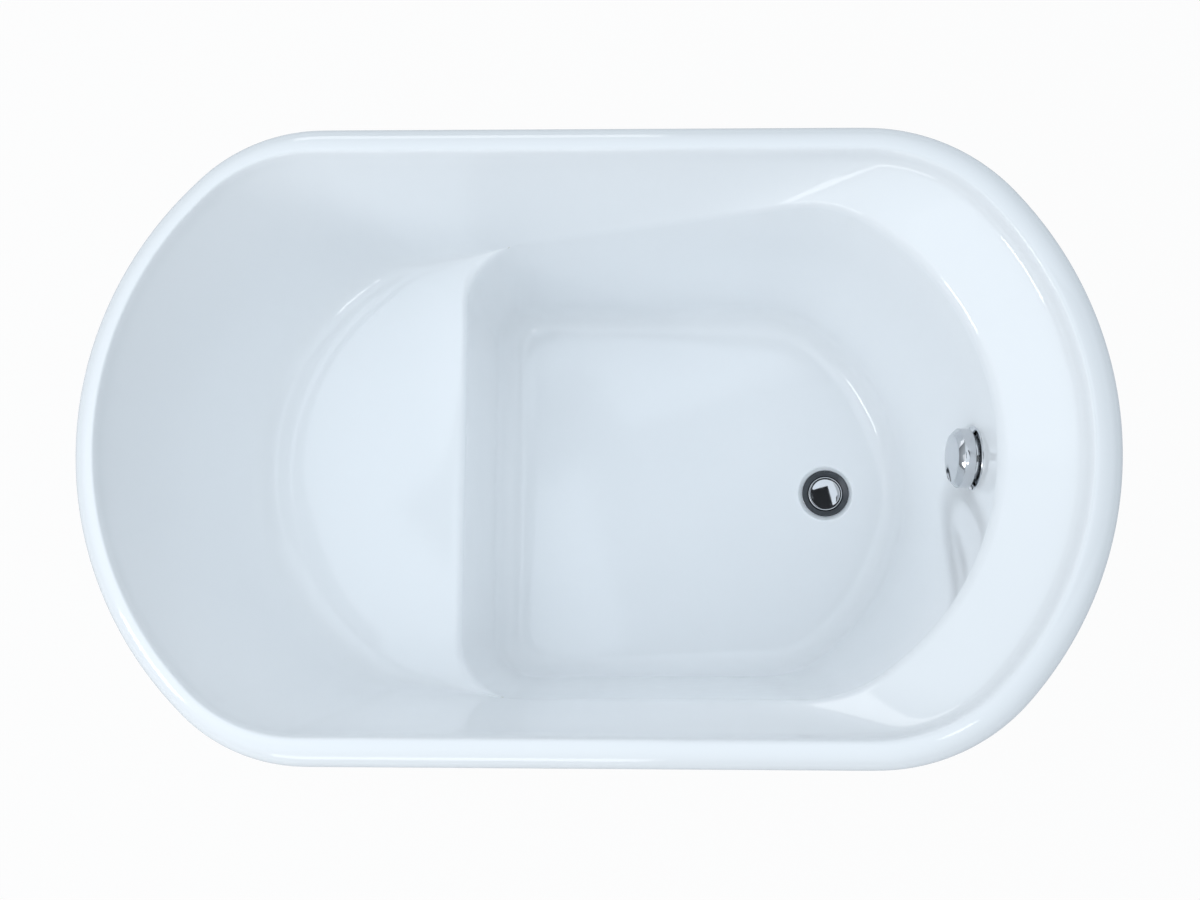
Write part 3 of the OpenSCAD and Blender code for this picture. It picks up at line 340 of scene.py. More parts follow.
class BasinForm:
    """The outlines of the moulded basin, and the profile of its face at each step round them."""

    SHOULDER_SOFT = 0.014
    TOP_SHARE = 0.78
    CROWN_SHARE = 0.87
    INNER_SOFT = 0.010
    RECESS_PLAY = 0.0025
    DISH_W = 0.010
    # Points across the profile's roundings, and rows of points between them
    ROLL_POINTS = 8
    CROWN_POINTS = 5
    FILLET_POINTS = 13
    EDGE_POINTS = 6
    FLOOR_POINTS = 9
    SEAT_ROWS = 3
    WALL_ROWS = 5

    def __init__(self):
        rim, seat, well, waste = (sizes(n) for n in ("bath_rim", "bath_seat", "bath_footwell", "bath_waste"))
        self.rim, self.seat, self.well, self.waste = rim, seat, well, waste
        self.split_x = well.front_r - well.front_x
        self.shoulder_z = rim.height - well.shoulder_drop
        shoulder = (well.shoulder_x, well.shoulder_r, well.shoulder_corner_r, well.shoulder_half_w)
        edge = well_half(*shoulder, well.front_x, well.front_r)
        self.edge = [p.to_3d() + Vector((0, 0, self.shoulder_at(p.x))) for p in edge]
        seat_back = (seat.back_x, seat.back_r, seat.corner_r, seat.half_w)
        seat_side = line(Vector((self.split_x, well.shoulder_half_w)),
                         Vector((-side_start(*seat_back).x, seat.half_w)), STEPS[3])
        self.seat_line = self.edge[:SEAT_START] + [
            p.to_3d() + Vector((0, 0, self.shoulder_at(p.x))) for p in seat_side + back_steps(*seat_back)]
        floor = well_half(well.floor_x, well.floor_end_r, well.floor_corner_r, well.floor_half_w,
                          well.riser_x, well.riser_corner_r)
        self.floor = [p.to_3d() + Vector((0, 0, self.floor_at(p))) for p in floor]

    def soften(self, rise):
        soft = self.SHOULDER_SOFT
        return 0.0 if rise < -soft else rise if rise > soft else (rise + soft) ** 2 / (4 * soft)

    def shoulder_at(self, x):
        foot_x = self.SHOULDER_SOFT + 0.002 - self.well.front_x
        rise = self.well.shoulder_slope * (x - foot_x)
        return self.seat.height + self.soften(rise) - self.soften(rise - (self.shoulder_z - self.seat.height))

    def floor_at(self, p):
        return self.well.floor_h + self.well.floor_fall * math.hypot(p[0] - self.waste.drain_x, p[1])

    def rim_loop(self, share, z):
        """An outline of the rim, from its outer edge at share 0 to its inner edge at share 1."""
        r = self.rim
        foot, back = share * r.foot_w, share * r.back_w
        half = round_half(self.split_x, (r.half_l - foot, r.foot_r - foot, r.foot_corner_r - foot),
                          (r.half_l - back, r.back_r - back, r.back_corner_r - back),
                          r.half_w - share * r.side_w)
        return [p.to_3d() + Vector((0, 0, z)) for p in half]

    def round_drain(self, i, r, z):
        way = (self.floor[i] - Vector((self.waste.drain_x, 0, self.floor[i].z))).normalized()
        return Vector((self.waste.drain_x, 0, z)) + way * r

    def profile(self, i, loops):
        """The basin's face at step i, from the rim's lip to the edge of the drain hole."""
        rim, seat, well, waste = self.rim, self.seat, self.well, self.waste
        lip, outer, crest, crown, inner = (loop[i] for loop in loops)
        edge, seat_line, floor = self.edge[i], self.seat_line[i], self.floor[i]
        recess_r = waste.flange_r + self.RECESS_PLAY
        recess_z = well.floor_h - waste.recess_depth
        dish_r = recess_r + self.DISH_W
        dish = self.round_drain(i, dish_r, well.floor_h + well.floor_fall * dish_r)
        soft = well.shoulder_edge
        if i <= SEAT_START:
            count = self.FILLET_POINTS + self.SEAT_ROWS + self.EDGE_POINTS
            middle = rounded(inner, edge, floor, soft, soft, count)
        else:
            share = ease(min(1.0, (i - SEAT_START) / STEPS[3]))
            fillet = rounded(inner, seat_line, edge, mix(soft, seat.fillet_up, share),
                             mix(soft, seat.fillet_in, share), self.FILLET_POINTS, flowing)
            front = rounded(seat_line, edge, floor, seat.edge_r, seat.edge_r, self.EDGE_POINTS)
            middle = with_rows(fillet + front, {self.FILLET_POINTS - 1: self.SEAT_ROWS})
        top = ([lip] + self.rim_roll(outer, crest)
               + curve(crest, crown, crown.lerp(inner, 0.5), self.CROWN_POINTS)
               + rounded(crown, inner, seat_line, self.INNER_SOFT, self.INNER_SOFT, self.CROWN_POINTS))
        foot = rounded(edge, floor, dish, well.fillet, well.fillet, self.FLOOR_POINTS)
        drain = [dish,
                 self.round_drain(i, recess_r + 0.0035, well.floor_h + well.floor_fall * recess_r),
                 self.round_drain(i, recess_r + 0.0015, well.floor_h),
                 self.round_drain(i, recess_r, recess_z + 0.0015),
                 self.round_drain(i, recess_r - 0.0015, recess_z),
                 self.round_drain(i, waste.hole_r, recess_z)]
        to_wall, to_foot, to_dish = len(top) - 1, len(top + middle) - 1, len(top + middle + foot) - 1
        flats = dict.fromkeys((to_wall, to_foot, to_dish), self.WALL_ROWS)
        return with_rows(top + middle + foot + drain, {0: 1, **flats})

    def rim_roll(self, outer, crest):
        """The rim's outer edge rounds over, from its upright lip to its top."""
        turns = (math.pi / 2 * i / self.ROLL_POINTS for i in range(self.ROLL_POINTS))
        return [mix(crest, outer, math.cos(a)) - Vector((0, 0, self.rim.roll_h * (1 - math.sin(a))))
                for a in turns]

    def rings(self):
        r = self.rim
        loops = (self.rim_loop(0, r.height - r.lip_h), self.rim_loop(0, r.height),
                 self.rim_loop(self.TOP_SHARE, r.height), self.rim_loop(self.CROWN_SHARE, r.height),
                 self.rim_loop(1, r.height - r.inner_drop))
        profiles = [self.profile(i, loops) for i in range(HALF + 1)]
        return [whole([profile[k] for profile in profiles]) for k in range(len(profiles[0]))]

    def overflow_frame(self):
        """Local +Z points out of the end wall into the tub, and local +X points up the wall."""
        top, foot = self.edge[0], self.floor[0]
        tilt = math.atan2(top.x - foot.x, top.z - foot.z)
        height = self.waste.overflow_h
        x = foot.x + (height - foot.z) * math.tan(tilt)
        return Matrix.Translation((x, 0, height)) @ Matrix.Rotation(tilt - math.pi / 2, 4, "Y")


def spline(points, i, t):
    """A place on the smooth curve through the points, between point i and the next."""
    a, b = points[max(i - 1, 0)], points[i]
    c, d = points[i + 1], points[min(i + 2, len(points) - 1)]
    return (2 * b + (c - a) * t + (2 * a - 5 * b + 4 * c - d) * t * t
            + (3 * b - a - 3 * c + d) * t ** 3) * 0.5


def tube_rings(route, radii, side, sides):
    """Rings of points square to a route, which keep one sideways direction."""
    rings = []
    for i, (middle, r) in enumerate(zip(route, radii)):
        way = (route[min(i + 1, len(route) - 1)] - route[max(i - 1, 0)]).normalized()
        u = (side - way * side.dot(way)).normalized()
        v = way.cross(u)
        rings.append([middle + (u * math.cos(a) + v * math.sin(a)) * r
                      for a in (2 * math.pi * k / sides for k in range(sides))])
    return rings


# Modelling


def pick(piece, *others):
    """Selects a piece and makes it the active one, with others selected beside it."""
    bpy.ops.object.select_all(action="DESELECT")
    for one in (*others, piece):
        one.select_set(True)
    bpy.context.view_layer.objects.active = piece


def edit(piece):
    """Enters edit mode on one piece, with all of it selected."""
    pick(piece)
    bpy.ops.object.mode_set(mode="EDIT")
    bpy.ops.mesh.select_all(action="SELECT")


def leave():
    bpy.ops.object.mode_set(mode="OBJECT")


def place_selected(piece, ring):
    """Puts each selected vertex on the ring's point that it belongs to."""
    mesh = bmesh.from_edit_mesh(piece.data)
    mesh.verts.ensure_lookup_table()
    spot = mesh.verts.layers.int["spot"]
    newest = mesh.verts[-len(ring):]
    for vertex in newest if all(v.select for v in newest) else mesh.verts:
        if vertex.select:
            vertex.co = ring[vertex[spot]]
    bmesh.update_edit_mesh(piece.data)


def loft(name, rings, closed=False, capped=False):
    """Starts with a circle on the first ring and extrudes it through the others."""
    bpy.ops.object.select_all(action="DESELECT")
    bpy.ops.mesh.primitive_circle_add(vertices=len(rings[0]), radius=1.0)
    piece = bpy.context.object
    piece.name = piece.data.name = name
    spots = piece.data.attributes.new("spot", "INT", "POINT")
    spots.data.foreach_set("value", range(len(rings[0])))
    edit(piece)
    place_selected(piece, rings[0])
    for ring in rings[1:] + ([rings[0]] if closed else []):
        bpy.ops.mesh.extrude_region_move()
        place_selected(piece, ring)
    if capped:
        bpy.ops.mesh.edge_face_add()
        bpy.ops.mesh.select_all(action="SELECT")
        bpy.ops.mesh.region_to_loop()
        bpy.ops.mesh.edge_face_add()
    bpy.ops.mesh.select_all(action="SELECT")
    bpy.ops.mesh.remove_doubles(threshold=0.000002)
    if closed or capped:
        bpy.ops.mesh.normals_make_consistent(inside=False)
    leave()
    piece.data.attributes.remove(piece.data.attributes["spot"])
    return piece


def circle(r, z, sides, place):
    """A ring of points about local Z, put in its place. The radius may depend on the angle and the height."""
    turns = [2 * math.pi * i / sides for i in range(sides)]
    radii = [r(a, z) if callable(r) else max(r, 0.000001) for a in turns]
    return [place @ Vector((at * math.cos(a), at * math.sin(a), z)) for a, at in zip(turns, radii)]


def hexagon(corner, share):
    """A hexagon's radius, cut back to that share of its corners' radius."""
    return lambda a, z: corner * min(share, math.cos(math.pi / 6) / math.cos(a % (math.pi / 3) - math.pi / 6))


def thread(r, depth, pitch):
    return lambda a, z: r - depth * abs(2 * ((z / pitch - a / (2 * math.pi)) % 1.0) - 1)


def grip(r, lobes, depth):
    """A round nut's radius, with shallow hollows for the fingers."""
    return lambda a, z: r - depth * (0.5 - 0.5 * math.cos(lobes * a)) ** 3


def hex_rows(corner, low, high):
    """The chamfered outside of a hexagonal nut or head."""
    edge = corner * 0.08
    chamfer = ((0.88, 0.0), (0.95, edge * 0.4), (1.0, edge))
    return ([(hexagon(corner, share), low + z) for share, z in chamfer]
            + [(hexagon(corner, share), high - z) for share, z in reversed(chamfer)])


def washer_rows(outer, inner, low, high, edge):
    return [(inner, low), (outer - edge, low), (outer, low + edge), (outer, high - edge),
            (outer - edge, high), (inner, high)]


def raised(place, z):
    return place @ Matrix.Translation((0, 0, z))


def turned(name, profile, place=None, sides=96, closed=True):
    """A turned piece: its profile of radius and height, swept round local Z."""
    place = place or Matrix.Identity(4)
    return loft(name, [circle(r, z, sides, place) for r, z in profile], closed=closed)


def join(first, *others):
    pick(first, *others)
    bpy.ops.object.join()
    return first


def shifted(piece, name, way):
    """A copy of a piece at another place."""
    pick(piece)
    bpy.ops.object.duplicate()
    made = bpy.context.object
    made.name = made.data.name = name
    made.data.transform(Matrix.Translation(way))
    return made


def modify(piece, kind, **settings):
    """Adds a modifier and applies it."""
    pick(piece)
    modifier = piece.modifiers.new(kind.title(), kind)
    for name, value in settings.items():
        setattr(modifier, name, value)
    bpy.ops.object.modifier_apply(modifier=modifier.name)


def subdivide(piece, levels=1):
    modify(piece, "SUBSURF", levels=levels, render_levels=levels)


def soften_edges(piece, width, segments=2, angle=30.0):
    modify(piece, "BEVEL", width=width, segments=segments, limit_method="ANGLE",
           angle_limit=math.radians(angle), harden_normals=False)


def face_out(sheet, axis):
    """Turns a sheet's faces so that the outermost one along an axis looks outwards."""
    edit(sheet)
    bpy.ops.mesh.normals_make_consistent(inside=False)
    leave()
    outermost = max(sheet.data.polygons, key=lambda face: face.center[axis])
    if outermost.normal[axis] < 0:
        edit(sheet)
        bpy.ops.mesh.flip_normals()
        leave()


def thicken(sheet, thickness):
    """Gives a polished sheet its thickness, with the rough laminate on its hidden face."""
    for name in ("acrylic", "laminate"):
        sheet.data.materials.append(finishes()[name])
    modify(sheet, "SOLIDIFY", thickness=thickness, offset=-1.0, use_quality_normals=True, material_offset=1,
           material_offset_rim=0)
    subdivide(sheet)


def spider(name, hub, bore, reach, depth, place):
    """A hub that guides a shaft, on three spokes, up from the place's origin."""
    made = turned(name, [(bore, 0.0), (hub, 0.0), (hub, depth), (bore, depth)], place, sides=48)
    start, end = hub - 0.002, reach + 0.001
    for turn in (60, 180, 300):
        bpy.ops.object.select_all(action="DESELECT")
        bpy.ops.mesh.primitive_cube_add(size=1.0)
        spoke = bpy.context.object
        spoke.data.transform(place @ Matrix.Rotation(math.radians(turn), 4, "Z")
                             @ Matrix.Translation(((start + end) / 2, 0, depth / 2))
                             @ Matrix.Diagonal((end - start, SPOKE_W, depth, 1.0)))
        join(made, spoke)
    soften_edges(made, 0.0004)
    return made


def put_on(piece, body, slot, node, angle=35.0, under=None):
    """Smooths a piece, gives it its finishes and its body, and hides the CAD node that it stands for."""
    pick(piece)
    bpy.ops.object.shade_smooth_by_angle(angle=math.radians(angle))
    indices = [face.material_index for face in piece.data.polygons]
    piece.data.materials.clear()
    for name in (slot, under) if under else (slot,):
        piece.data.materials.append(finishes()[name])
    last = len(piece.data.materials) - 1
    piece.data.polygons.foreach_set("material_index", [min(i, last) for i in indices])
    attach(piece, body)
    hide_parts(node)


def dress(node, material):
    """Gives a CAD node a procedural finish on its object, and leaves its mesh alone."""
    piece = frame["nodes"][node]
    if not piece.material_slots:
        piece.data.materials.append(None)
    for material_slot in piece.material_slots:
        material_slot.link = "OBJECT"
        material_slot.material = material


# Finishes


def shade(rgb, share):
    return tuple(c * share for c in rgb)


class Tree:
    """A node tree that takes a node, with its inputs and its settings, in one line."""

    def __init__(self, tree):
        self.tree = tree

    def node(self, kind, output, inputs=None, **settings):
        """Adds a shader node and gives back one of its outputs."""
        made = self.tree.nodes.new("ShaderNode" + kind)
        for name, value in settings.items():
            setattr(made, name, value)
        for name, value in (inputs or {}).items():
            if isinstance(value, bpy.types.NodeSocket):
                self.tree.links.new(value, made.inputs[name])
            else:
                made.inputs[name].default_value = value
        return made.outputs[output]

    def surface(self, output, first, second, share):
        """Mixes two shaders into the tree's output."""
        both = self.node("MixShader", "Shader", {0: share, 1: first, 2: second})
        self.tree.links.new(both, self.tree.nodes[output].inputs["Surface"])


class Finish(Tree):
    """A material with its nodes, its links and its shader."""

    def __init__(self, name, **sockets):
        self.material = bpy.data.materials.new(name)
        self.material.use_nodes = True
        super().__init__(self.material.node_tree)
        self.shader = self.tree.nodes["Principled BSDF"]
        for socket, value in sockets.items():
            self.shader.inputs[socket.replace("_", " ")].default_value = value
        self.place = self.node("TexCoord", "Object")

    def noise(self, scale, detail=2.0, stretch=(1.0, 1.0, 1.0)):
        at = self.node("Mapping", "Vector", {"Vector": self.place, "Scale": stretch})
        return self.node("TexNoise", "Fac", {"Vector": at, "Scale": scale, "Detail": detail})

    def between(self, value, low, high, out_low, out_high):
        return self.node("MapRange", "Result", {"Value": value, "From Min": low, "From Max": high,
                                                "To Min": out_low, "To Max": out_high})

    def blend(self, factor, first, second):
        ends = [end if isinstance(end, bpy.types.NodeSocket) else (*end, 1.0) for end in (first, second)]
        return self.node("Mix", 2, {"Factor": factor, 6: ends[0], 7: ends[1]}, data_type="RGBA")

    def paint(self, value):
        self.tree.links.new(value, self.shader.inputs["Base Color"])

    def mottle(self, factor, rgb, dark, light=1.0):
        """Paints with a colour that drifts between two of its shades."""
        self.paint(self.blend(factor, shade(rgb, dark), shade(rgb, light)))

    def roughen(self, value):
        self.tree.links.new(value, self.shader.inputs["Roughness"])

    def bump(self, value, strength, distance):
        bump = self.node("Bump", "Normal", {"Height": value, "Strength": strength, "Distance": distance})
        self.tree.links.new(bump, self.shader.inputs["Normal"])


def acrylic():
    """Polished white acrylic, with the faint waves of a vacuum-formed sheet."""
    rgb = sizes("bath_colours").acrylic
    f = Finish("polished_acrylic", IOR=1.49)
    f.mottle(f.noise(2.5), rgb, 0.985)
    f.roughen(f.between(f.noise(40.0, 3.0), 0.3, 0.7, 0.055, 0.085))
    f.bump(f.noise(9.0, 1.0), 0.03, 0.002)
    return f.material


def laminate():
    """The rough resin and chopped glass on the shell's hidden faces."""
    rgb = sizes("bath_colours").laminate
    f = Finish("resin_laminate", IOR=1.5)
    strands = f.noise(160.0, 4.0, (1.0, 0.25, 0.6))
    f.mottle(strands, rgb, 0.8)
    f.roughen(f.between(strands, 0.2, 0.8, 0.35, 0.7))
    f.bump(strands, 0.5, 0.0008)
    return f.material


def chrome():
    rgb = sizes("bath_colours").chrome
    f = Finish("polished_chrome", Metallic=1.0)
    f.mottle(f.noise(30.0), rgb, 0.97)
    f.roughen(f.between(f.noise(120.0, 4.0), 0.35, 0.75, 0.035, 0.075))
    return f.material


def dark_dish():
    """Bright metal painted dark: a painted reflection, for the dark that the dished chrome face mirrors."""
    rgb = sizes("bath_colours").dish
    f = Finish("dark_dish", Metallic=1.0)
    rings = f.noise(60.0, 3.0)
    f.mottle(rings, rgb, 0.7, 1.25)
    f.roughen(f.between(rings, 0.3, 0.7, 0.16, 0.26))
    return f.material


def zinc():
    """Zinc plate, dull and slightly spangled."""
    rgb = sizes("bath_colours").zinc
    f = Finish("zinc_plate", Metallic=1.0)
    spangle = f.node("TexVoronoi", "Color", {"Vector": f.place, "Scale": 130.0})
    grey = f.node("RGBToBW", "Val", {"Color": spangle})
    f.mottle(grey, rgb, 0.82)
    f.roughen(f.between(grey, 0.0, 1.0, 0.32, 0.5))
    f.bump(f.noise(260.0, 3.0), 0.12, 0.0004)
    return f.material


def stainless():
    rgb = sizes("bath_colours").stainless
    f = Finish("turned_stainless", Metallic=1.0, Anisotropic=0.4)
    lines = f.noise(900.0, 2.0, (0.1, 0.1, 1.0))
    f.mottle(lines, rgb, 0.9)
    f.roughen(f.between(lines, 0.3, 0.7, 0.22, 0.36))
    return f.material


def plywood():
    """Birch plywood: long grain on the faces and thin plies on the edges."""
    rgb = sizes("bath_colours").plywood
    f = Finish("birch_plywood", IOR=1.45)
    grain = f.noise(26.0, 5.0, (0.6, 9.0, 9.0))
    face = f.blend(f.between(grain, 0.3, 0.7, 0.0, 1.0), shade(rgb, 0.72), rgb)
    height = f.node("SeparateXYZ", "Z", {"Vector": f.place})
    plies = f.node("Math", "Value", {0: height, 1: 0.0015}, operation="PINGPONG")
    edge = f.blend(f.between(plies, 0.0004, 0.0011, 0.0, 1.0), shade(rgb, 0.45), shade(rgb, 1.05))
    up = f.node("SeparateXYZ", "Z", {"Vector": f.node("NewGeometry", "Normal")})
    flat = f.node("Math", "Value", {0: up}, operation="ABSOLUTE")
    f.paint(f.blend(f.between(flat, 0.4, 0.6, 0.0, 1.0), edge, face))
    f.roughen(f.between(grain, 0.2, 0.8, 0.55, 0.75))
    f.bump(grain, 0.2, 0.0005)
    return f.material


def moulded(name, rgb, rough_low, rough_high, grain=500.0, strength=0.12):
    """A moulded plastic or rubber with a fine even grain."""
    f = Finish(name, IOR=1.5)
    f.mottle(f.noise(14.0, 3.0), rgb, 0.88)
    speckle = f.noise(grain, 2.0)
    f.roughen(f.between(speckle, 0.3, 0.7, rough_low, rough_high))
    f.bump(speckle, strength, 0.0003)
    return f.material


def finishes():
    """Every finish of the tub by its name, made once."""
    c = sizes("bath_colours")
    makers = {
        "acrylic": acrylic,
        "laminate": laminate,
        "chrome": chrome,
        # The drain dish's finish is a painted dark reflection
        "dark_dish": dark_dish,
        "zinc_steel": zinc,
        "stainless": stainless,
        "plywood": plywood,
        "rubber": lambda: moulded("black_rubber", c.rubber, 0.55, 0.75, 700.0, 0.2),
        "grey_plastic": lambda: moulded("grey_moulding", c.plastic, 0.38, 0.5),
        "white_hose": lambda: moulded("hose_plastic", c.hose, 0.35, 0.5),
        "cable_sheath": lambda: moulded("cable_sheath", c.sheath, 0.3, 0.45, 300.0, 0.08),
    }
    made = {m.get("bath_finish"): m for m in bpy.data.materials if m.get("bath_finish")}
    for name, make in makers.items():
        if name not in made:
            made[name] = make()
            made[name]["bath_finish"] = name
    return made


# Operators


class BATH_OT_stage(Operator):
    """Set up the floor, the sky, the lights and the camera"""
    bl_idname = "bath.stage"
    bl_label = "Stage"

    FLOOR_SIZE = 30.0
    # How much of the floor is plain white to the camera. The rest keeps the tub's shadow
    WHITE_SHARE = 0.95
    # Soft boxes round the tub: azimuth and elevation in degrees, distance, width, height and brightness
    BOXES = {
        "key_box": (-155.0, 28.0, 4.0, 0.95, 0.95, 7.0),
        "fill_box": (-165.0, 50.0, 4.0, 3.0, 3.0, 0.35),
        "small_box": (-45.0, 53.0, 3.5, 0.36, 0.36, 4.5),
        "right_box": (100.0, 16.0, 3.6, 1.4, 0.9, 2.2),
        "left_box": (-102.0, 12.0, 3.6, 1.6, 0.9, 2.6),
    }
    AIM = Vector((0.0, 0.0, 0.5))
    # Dark things round the camera, which only show in the polished fittings: place, width and height
    CARDS = {
        "camera_card": ((0.40, 0.10, 2.72), 0.94, 0.80),
        "arm_card": ((-0.30, 0.36, 2.74), 0.70, 0.22),
        "side_card": ((1.95, 0.34, 2.40), 1.5, 1.5),
    }

    def execute(self, context):
        studio = sizes("bath_studio")
        self.add_floor()
        for name, card in self.CARDS.items():
            self.add_card(name, *card)
        self.add_sky(studio)
        for name, box in self.BOXES.items():
            self.add_box(name, *box, studio.box_level)
        self.add_camera(context, studio)
        context.scene.view_settings.view_transform = "Standard"
        return {"FINISHED"}

    def add_floor(self):
        bpy.ops.mesh.primitive_plane_add(size=self.FLOOR_SIZE)
        floor = bpy.context.object
        floor.name = "studio_floor"
        f = Finish("studio_floor", Roughness=0.8, Specular_IOR_Level=0.1)
        f.paint(f.blend(f.noise(1.5), (0.60, 0.61, 0.62), (0.62, 0.63, 0.64)))
        seen = f.node("LightPath", "Is Camera Ray")
        glow = f.node("Emission", "Emission", {"Color": (1, 1, 1, 1), "Strength": 1.0})
        share = f.node("Math", "Value", {0: seen, 1: self.WHITE_SHARE}, operation="MULTIPLY")
        f.surface("Material Output", f.shader.outputs["BSDF"], glow, share)
        floor.data.materials.append(f.material)

    def add_card(self, name, place, width, height):
        """A black card that faces the tub and casts no shadow on it."""
        bpy.ops.object.select_all(action="DESELECT")
        bpy.ops.mesh.primitive_plane_add(size=1.0, location=place)
        card = bpy.context.object
        card.name = name
        card.data.transform(Matrix.Diagonal((width, height, 1.0, 1.0)))
        card.rotation_euler = (Vector(place) - self.AIM).to_track_quat("Z", "Y").to_euler()
        card.data.materials.append(Finish(name, Base_Color=(0.01, 0.01, 0.012, 1.0), Roughness=0.6).material)
        card.visible_camera = card.visible_shadow = card.visible_diffuse = False

    def add_sky(self, studio):
        """A sky that is brighter overhead, and white where the camera looks straight at it."""
        world = bpy.data.worlds.new("studio_sky")
        world.use_nodes = True
        bpy.context.scene.world = world
        sky = Tree(world.node_tree)
        up = sky.node("SeparateXYZ", "Z", {"Vector": sky.node("TexCoord", "Generated")})
        climb = sky.node("MapRange", "Result", {"Value": up, "To Min": studio.sky_low,
                                                "To Max": studio.sky_high})
        light = sky.node("Background", "Background", {"Color": (*studio.sky, 1.0), "Strength": climb})
        white = sky.node("Background", "Background", {"Color": (1, 1, 1, 1), "Strength": 1.0})
        sky.surface("World Output", light, white, sky.node("LightPath", "Is Camera Ray"))

    def add_box(self, name, azimuth, elevation, distance, width, height, brightness, level):
        """A soft box that faces the tub, where the photo's reflections say that it hangs."""
        az, el = math.radians(azimuth), math.radians(elevation)
        way = Vector((math.cos(el) * math.cos(az), math.cos(el) * math.sin(az), math.sin(el)))
        bpy.ops.object.light_add(type="AREA", location=self.AIM + way * distance)
        lamp = bpy.context.object
        lamp.name = lamp.data.name = name
        lamp.data.shape = "RECTANGLE"
        lamp.data.size, lamp.data.size_y = width, height
        lamp.data.energy = math.pi * width * height * brightness * level
        lamp.rotation_euler = (-way).to_track_quat("-Z", "Y").to_euler()

    def add_camera(self, context, studio):
        bpy.ops.object.camera_add(location=studio.camera_place, rotation=studio.camera_turn)
        camera = context.object
        camera.name = camera.data.name = "photo_camera"
        camera.data.lens = studio.camera_lens
        camera.data.sensor_width = 36.0
        camera.data.sensor_fit = "HORIZONTAL"
        context.scene.camera = camera


class BATH_OT_basin(Operator):
    """Mould the basin: rolled rim, backrest, seat, footwell and shoulder"""
    bl_idname = "bath.basin"
    bl_label = "Basin"

    CUTTER_REACH = 0.03

    def execute(self, context):
        form = BasinForm()
        basin = loft("basin_shell", form.rings())
        face_out(basin, 2)
        thicken(basin, form.rim.shell_t)
        self.cut_overflow_hole(basin, form)
        put_on(basin, "tub", "acrylic", "inner_basin", 50.0, "laminate")
        return {"FINISHED"}

    def cut_overflow_hole(self, basin, form):
        r, reach = form.waste.hole_r, self.CUTTER_REACH
        rows = [(0.0, -reach), (r, -reach), (r, reach), (0.0, reach)]
        cutter = turned("hole_cutter", rows, form.overflow_frame(), sides=64)
        modify(basin, "BOOLEAN", operation="DIFFERENCE", object=cutter, solver="EXACT")
        bpy.data.objects.remove(cutter)


class BATH_OT_skirt(Operator):
    """Form the tapered outer skirt with its turned-in foot"""
    bl_idname = "bath.skirt"
    bl_label = "Skirt"

    SEAM = 0.0006
    FOOT_ROUND = 0.004
    ROWS = 8

    def execute(self, context):
        rim, skirt = sizes("bath_rim"), sizes("bath_skirt")
        top_z = rim.height - rim.lip_h + skirt.tuck
        round_z = skirt.gap + self.FOOT_ROUND
        rows = [(mix(top_z, round_z, i / self.ROWS), 0.0) for i in range(self.ROWS + 1)]
        foot = [(round_z - self.FOOT_ROUND * math.sin(t), self.FOOT_ROUND * (1 - math.cos(t)))
                for t in (math.pi / 8 * i for i in range(1, 5))]
        flange = [(skirt.gap, mix(self.FOOT_ROUND, skirt.foot_w, i / 3)) for i in range(1, 4)]
        rings = [self.ring(rim, skirt, top_z, z, inset) for z, inset in rows + foot + flange]
        wall = loft("skirt_wall", rings)
        face_out(wall, 0)
        thicken(wall, skirt.wall)
        put_on(wall, "tub", "acrylic", "outer_skirt", 40.0, "laminate")
        return {"FINISHED"}

    def ring(self, rim, skirt, top_z, z, inset):
        t = (top_z - z) / (top_z - skirt.gap)
        inside = rim.shell_t + self.SEAM
        foot = (mix(rim.half_l - inside, skirt.foot_half_l, t) - inset,
                mix(rim.foot_r - inside, skirt.end_r, t) - inset,
                mix(rim.foot_corner_r - inside, skirt.corner_r, t) - inset)
        back = (foot[0], mix(rim.back_r - inside, skirt.end_r, t) - inset,
                mix(rim.back_corner_r - inside, skirt.corner_r, t) - inset)
        split_x = sizes("bath_footwell").front_r - sizes("bath_footwell").front_x
        half = round_half(split_x, foot, back, mix(rim.half_w - inside, skirt.foot_half_w, t) - inset)
        return whole([p.to_3d() + Vector((0, 0, z)) for p in half])


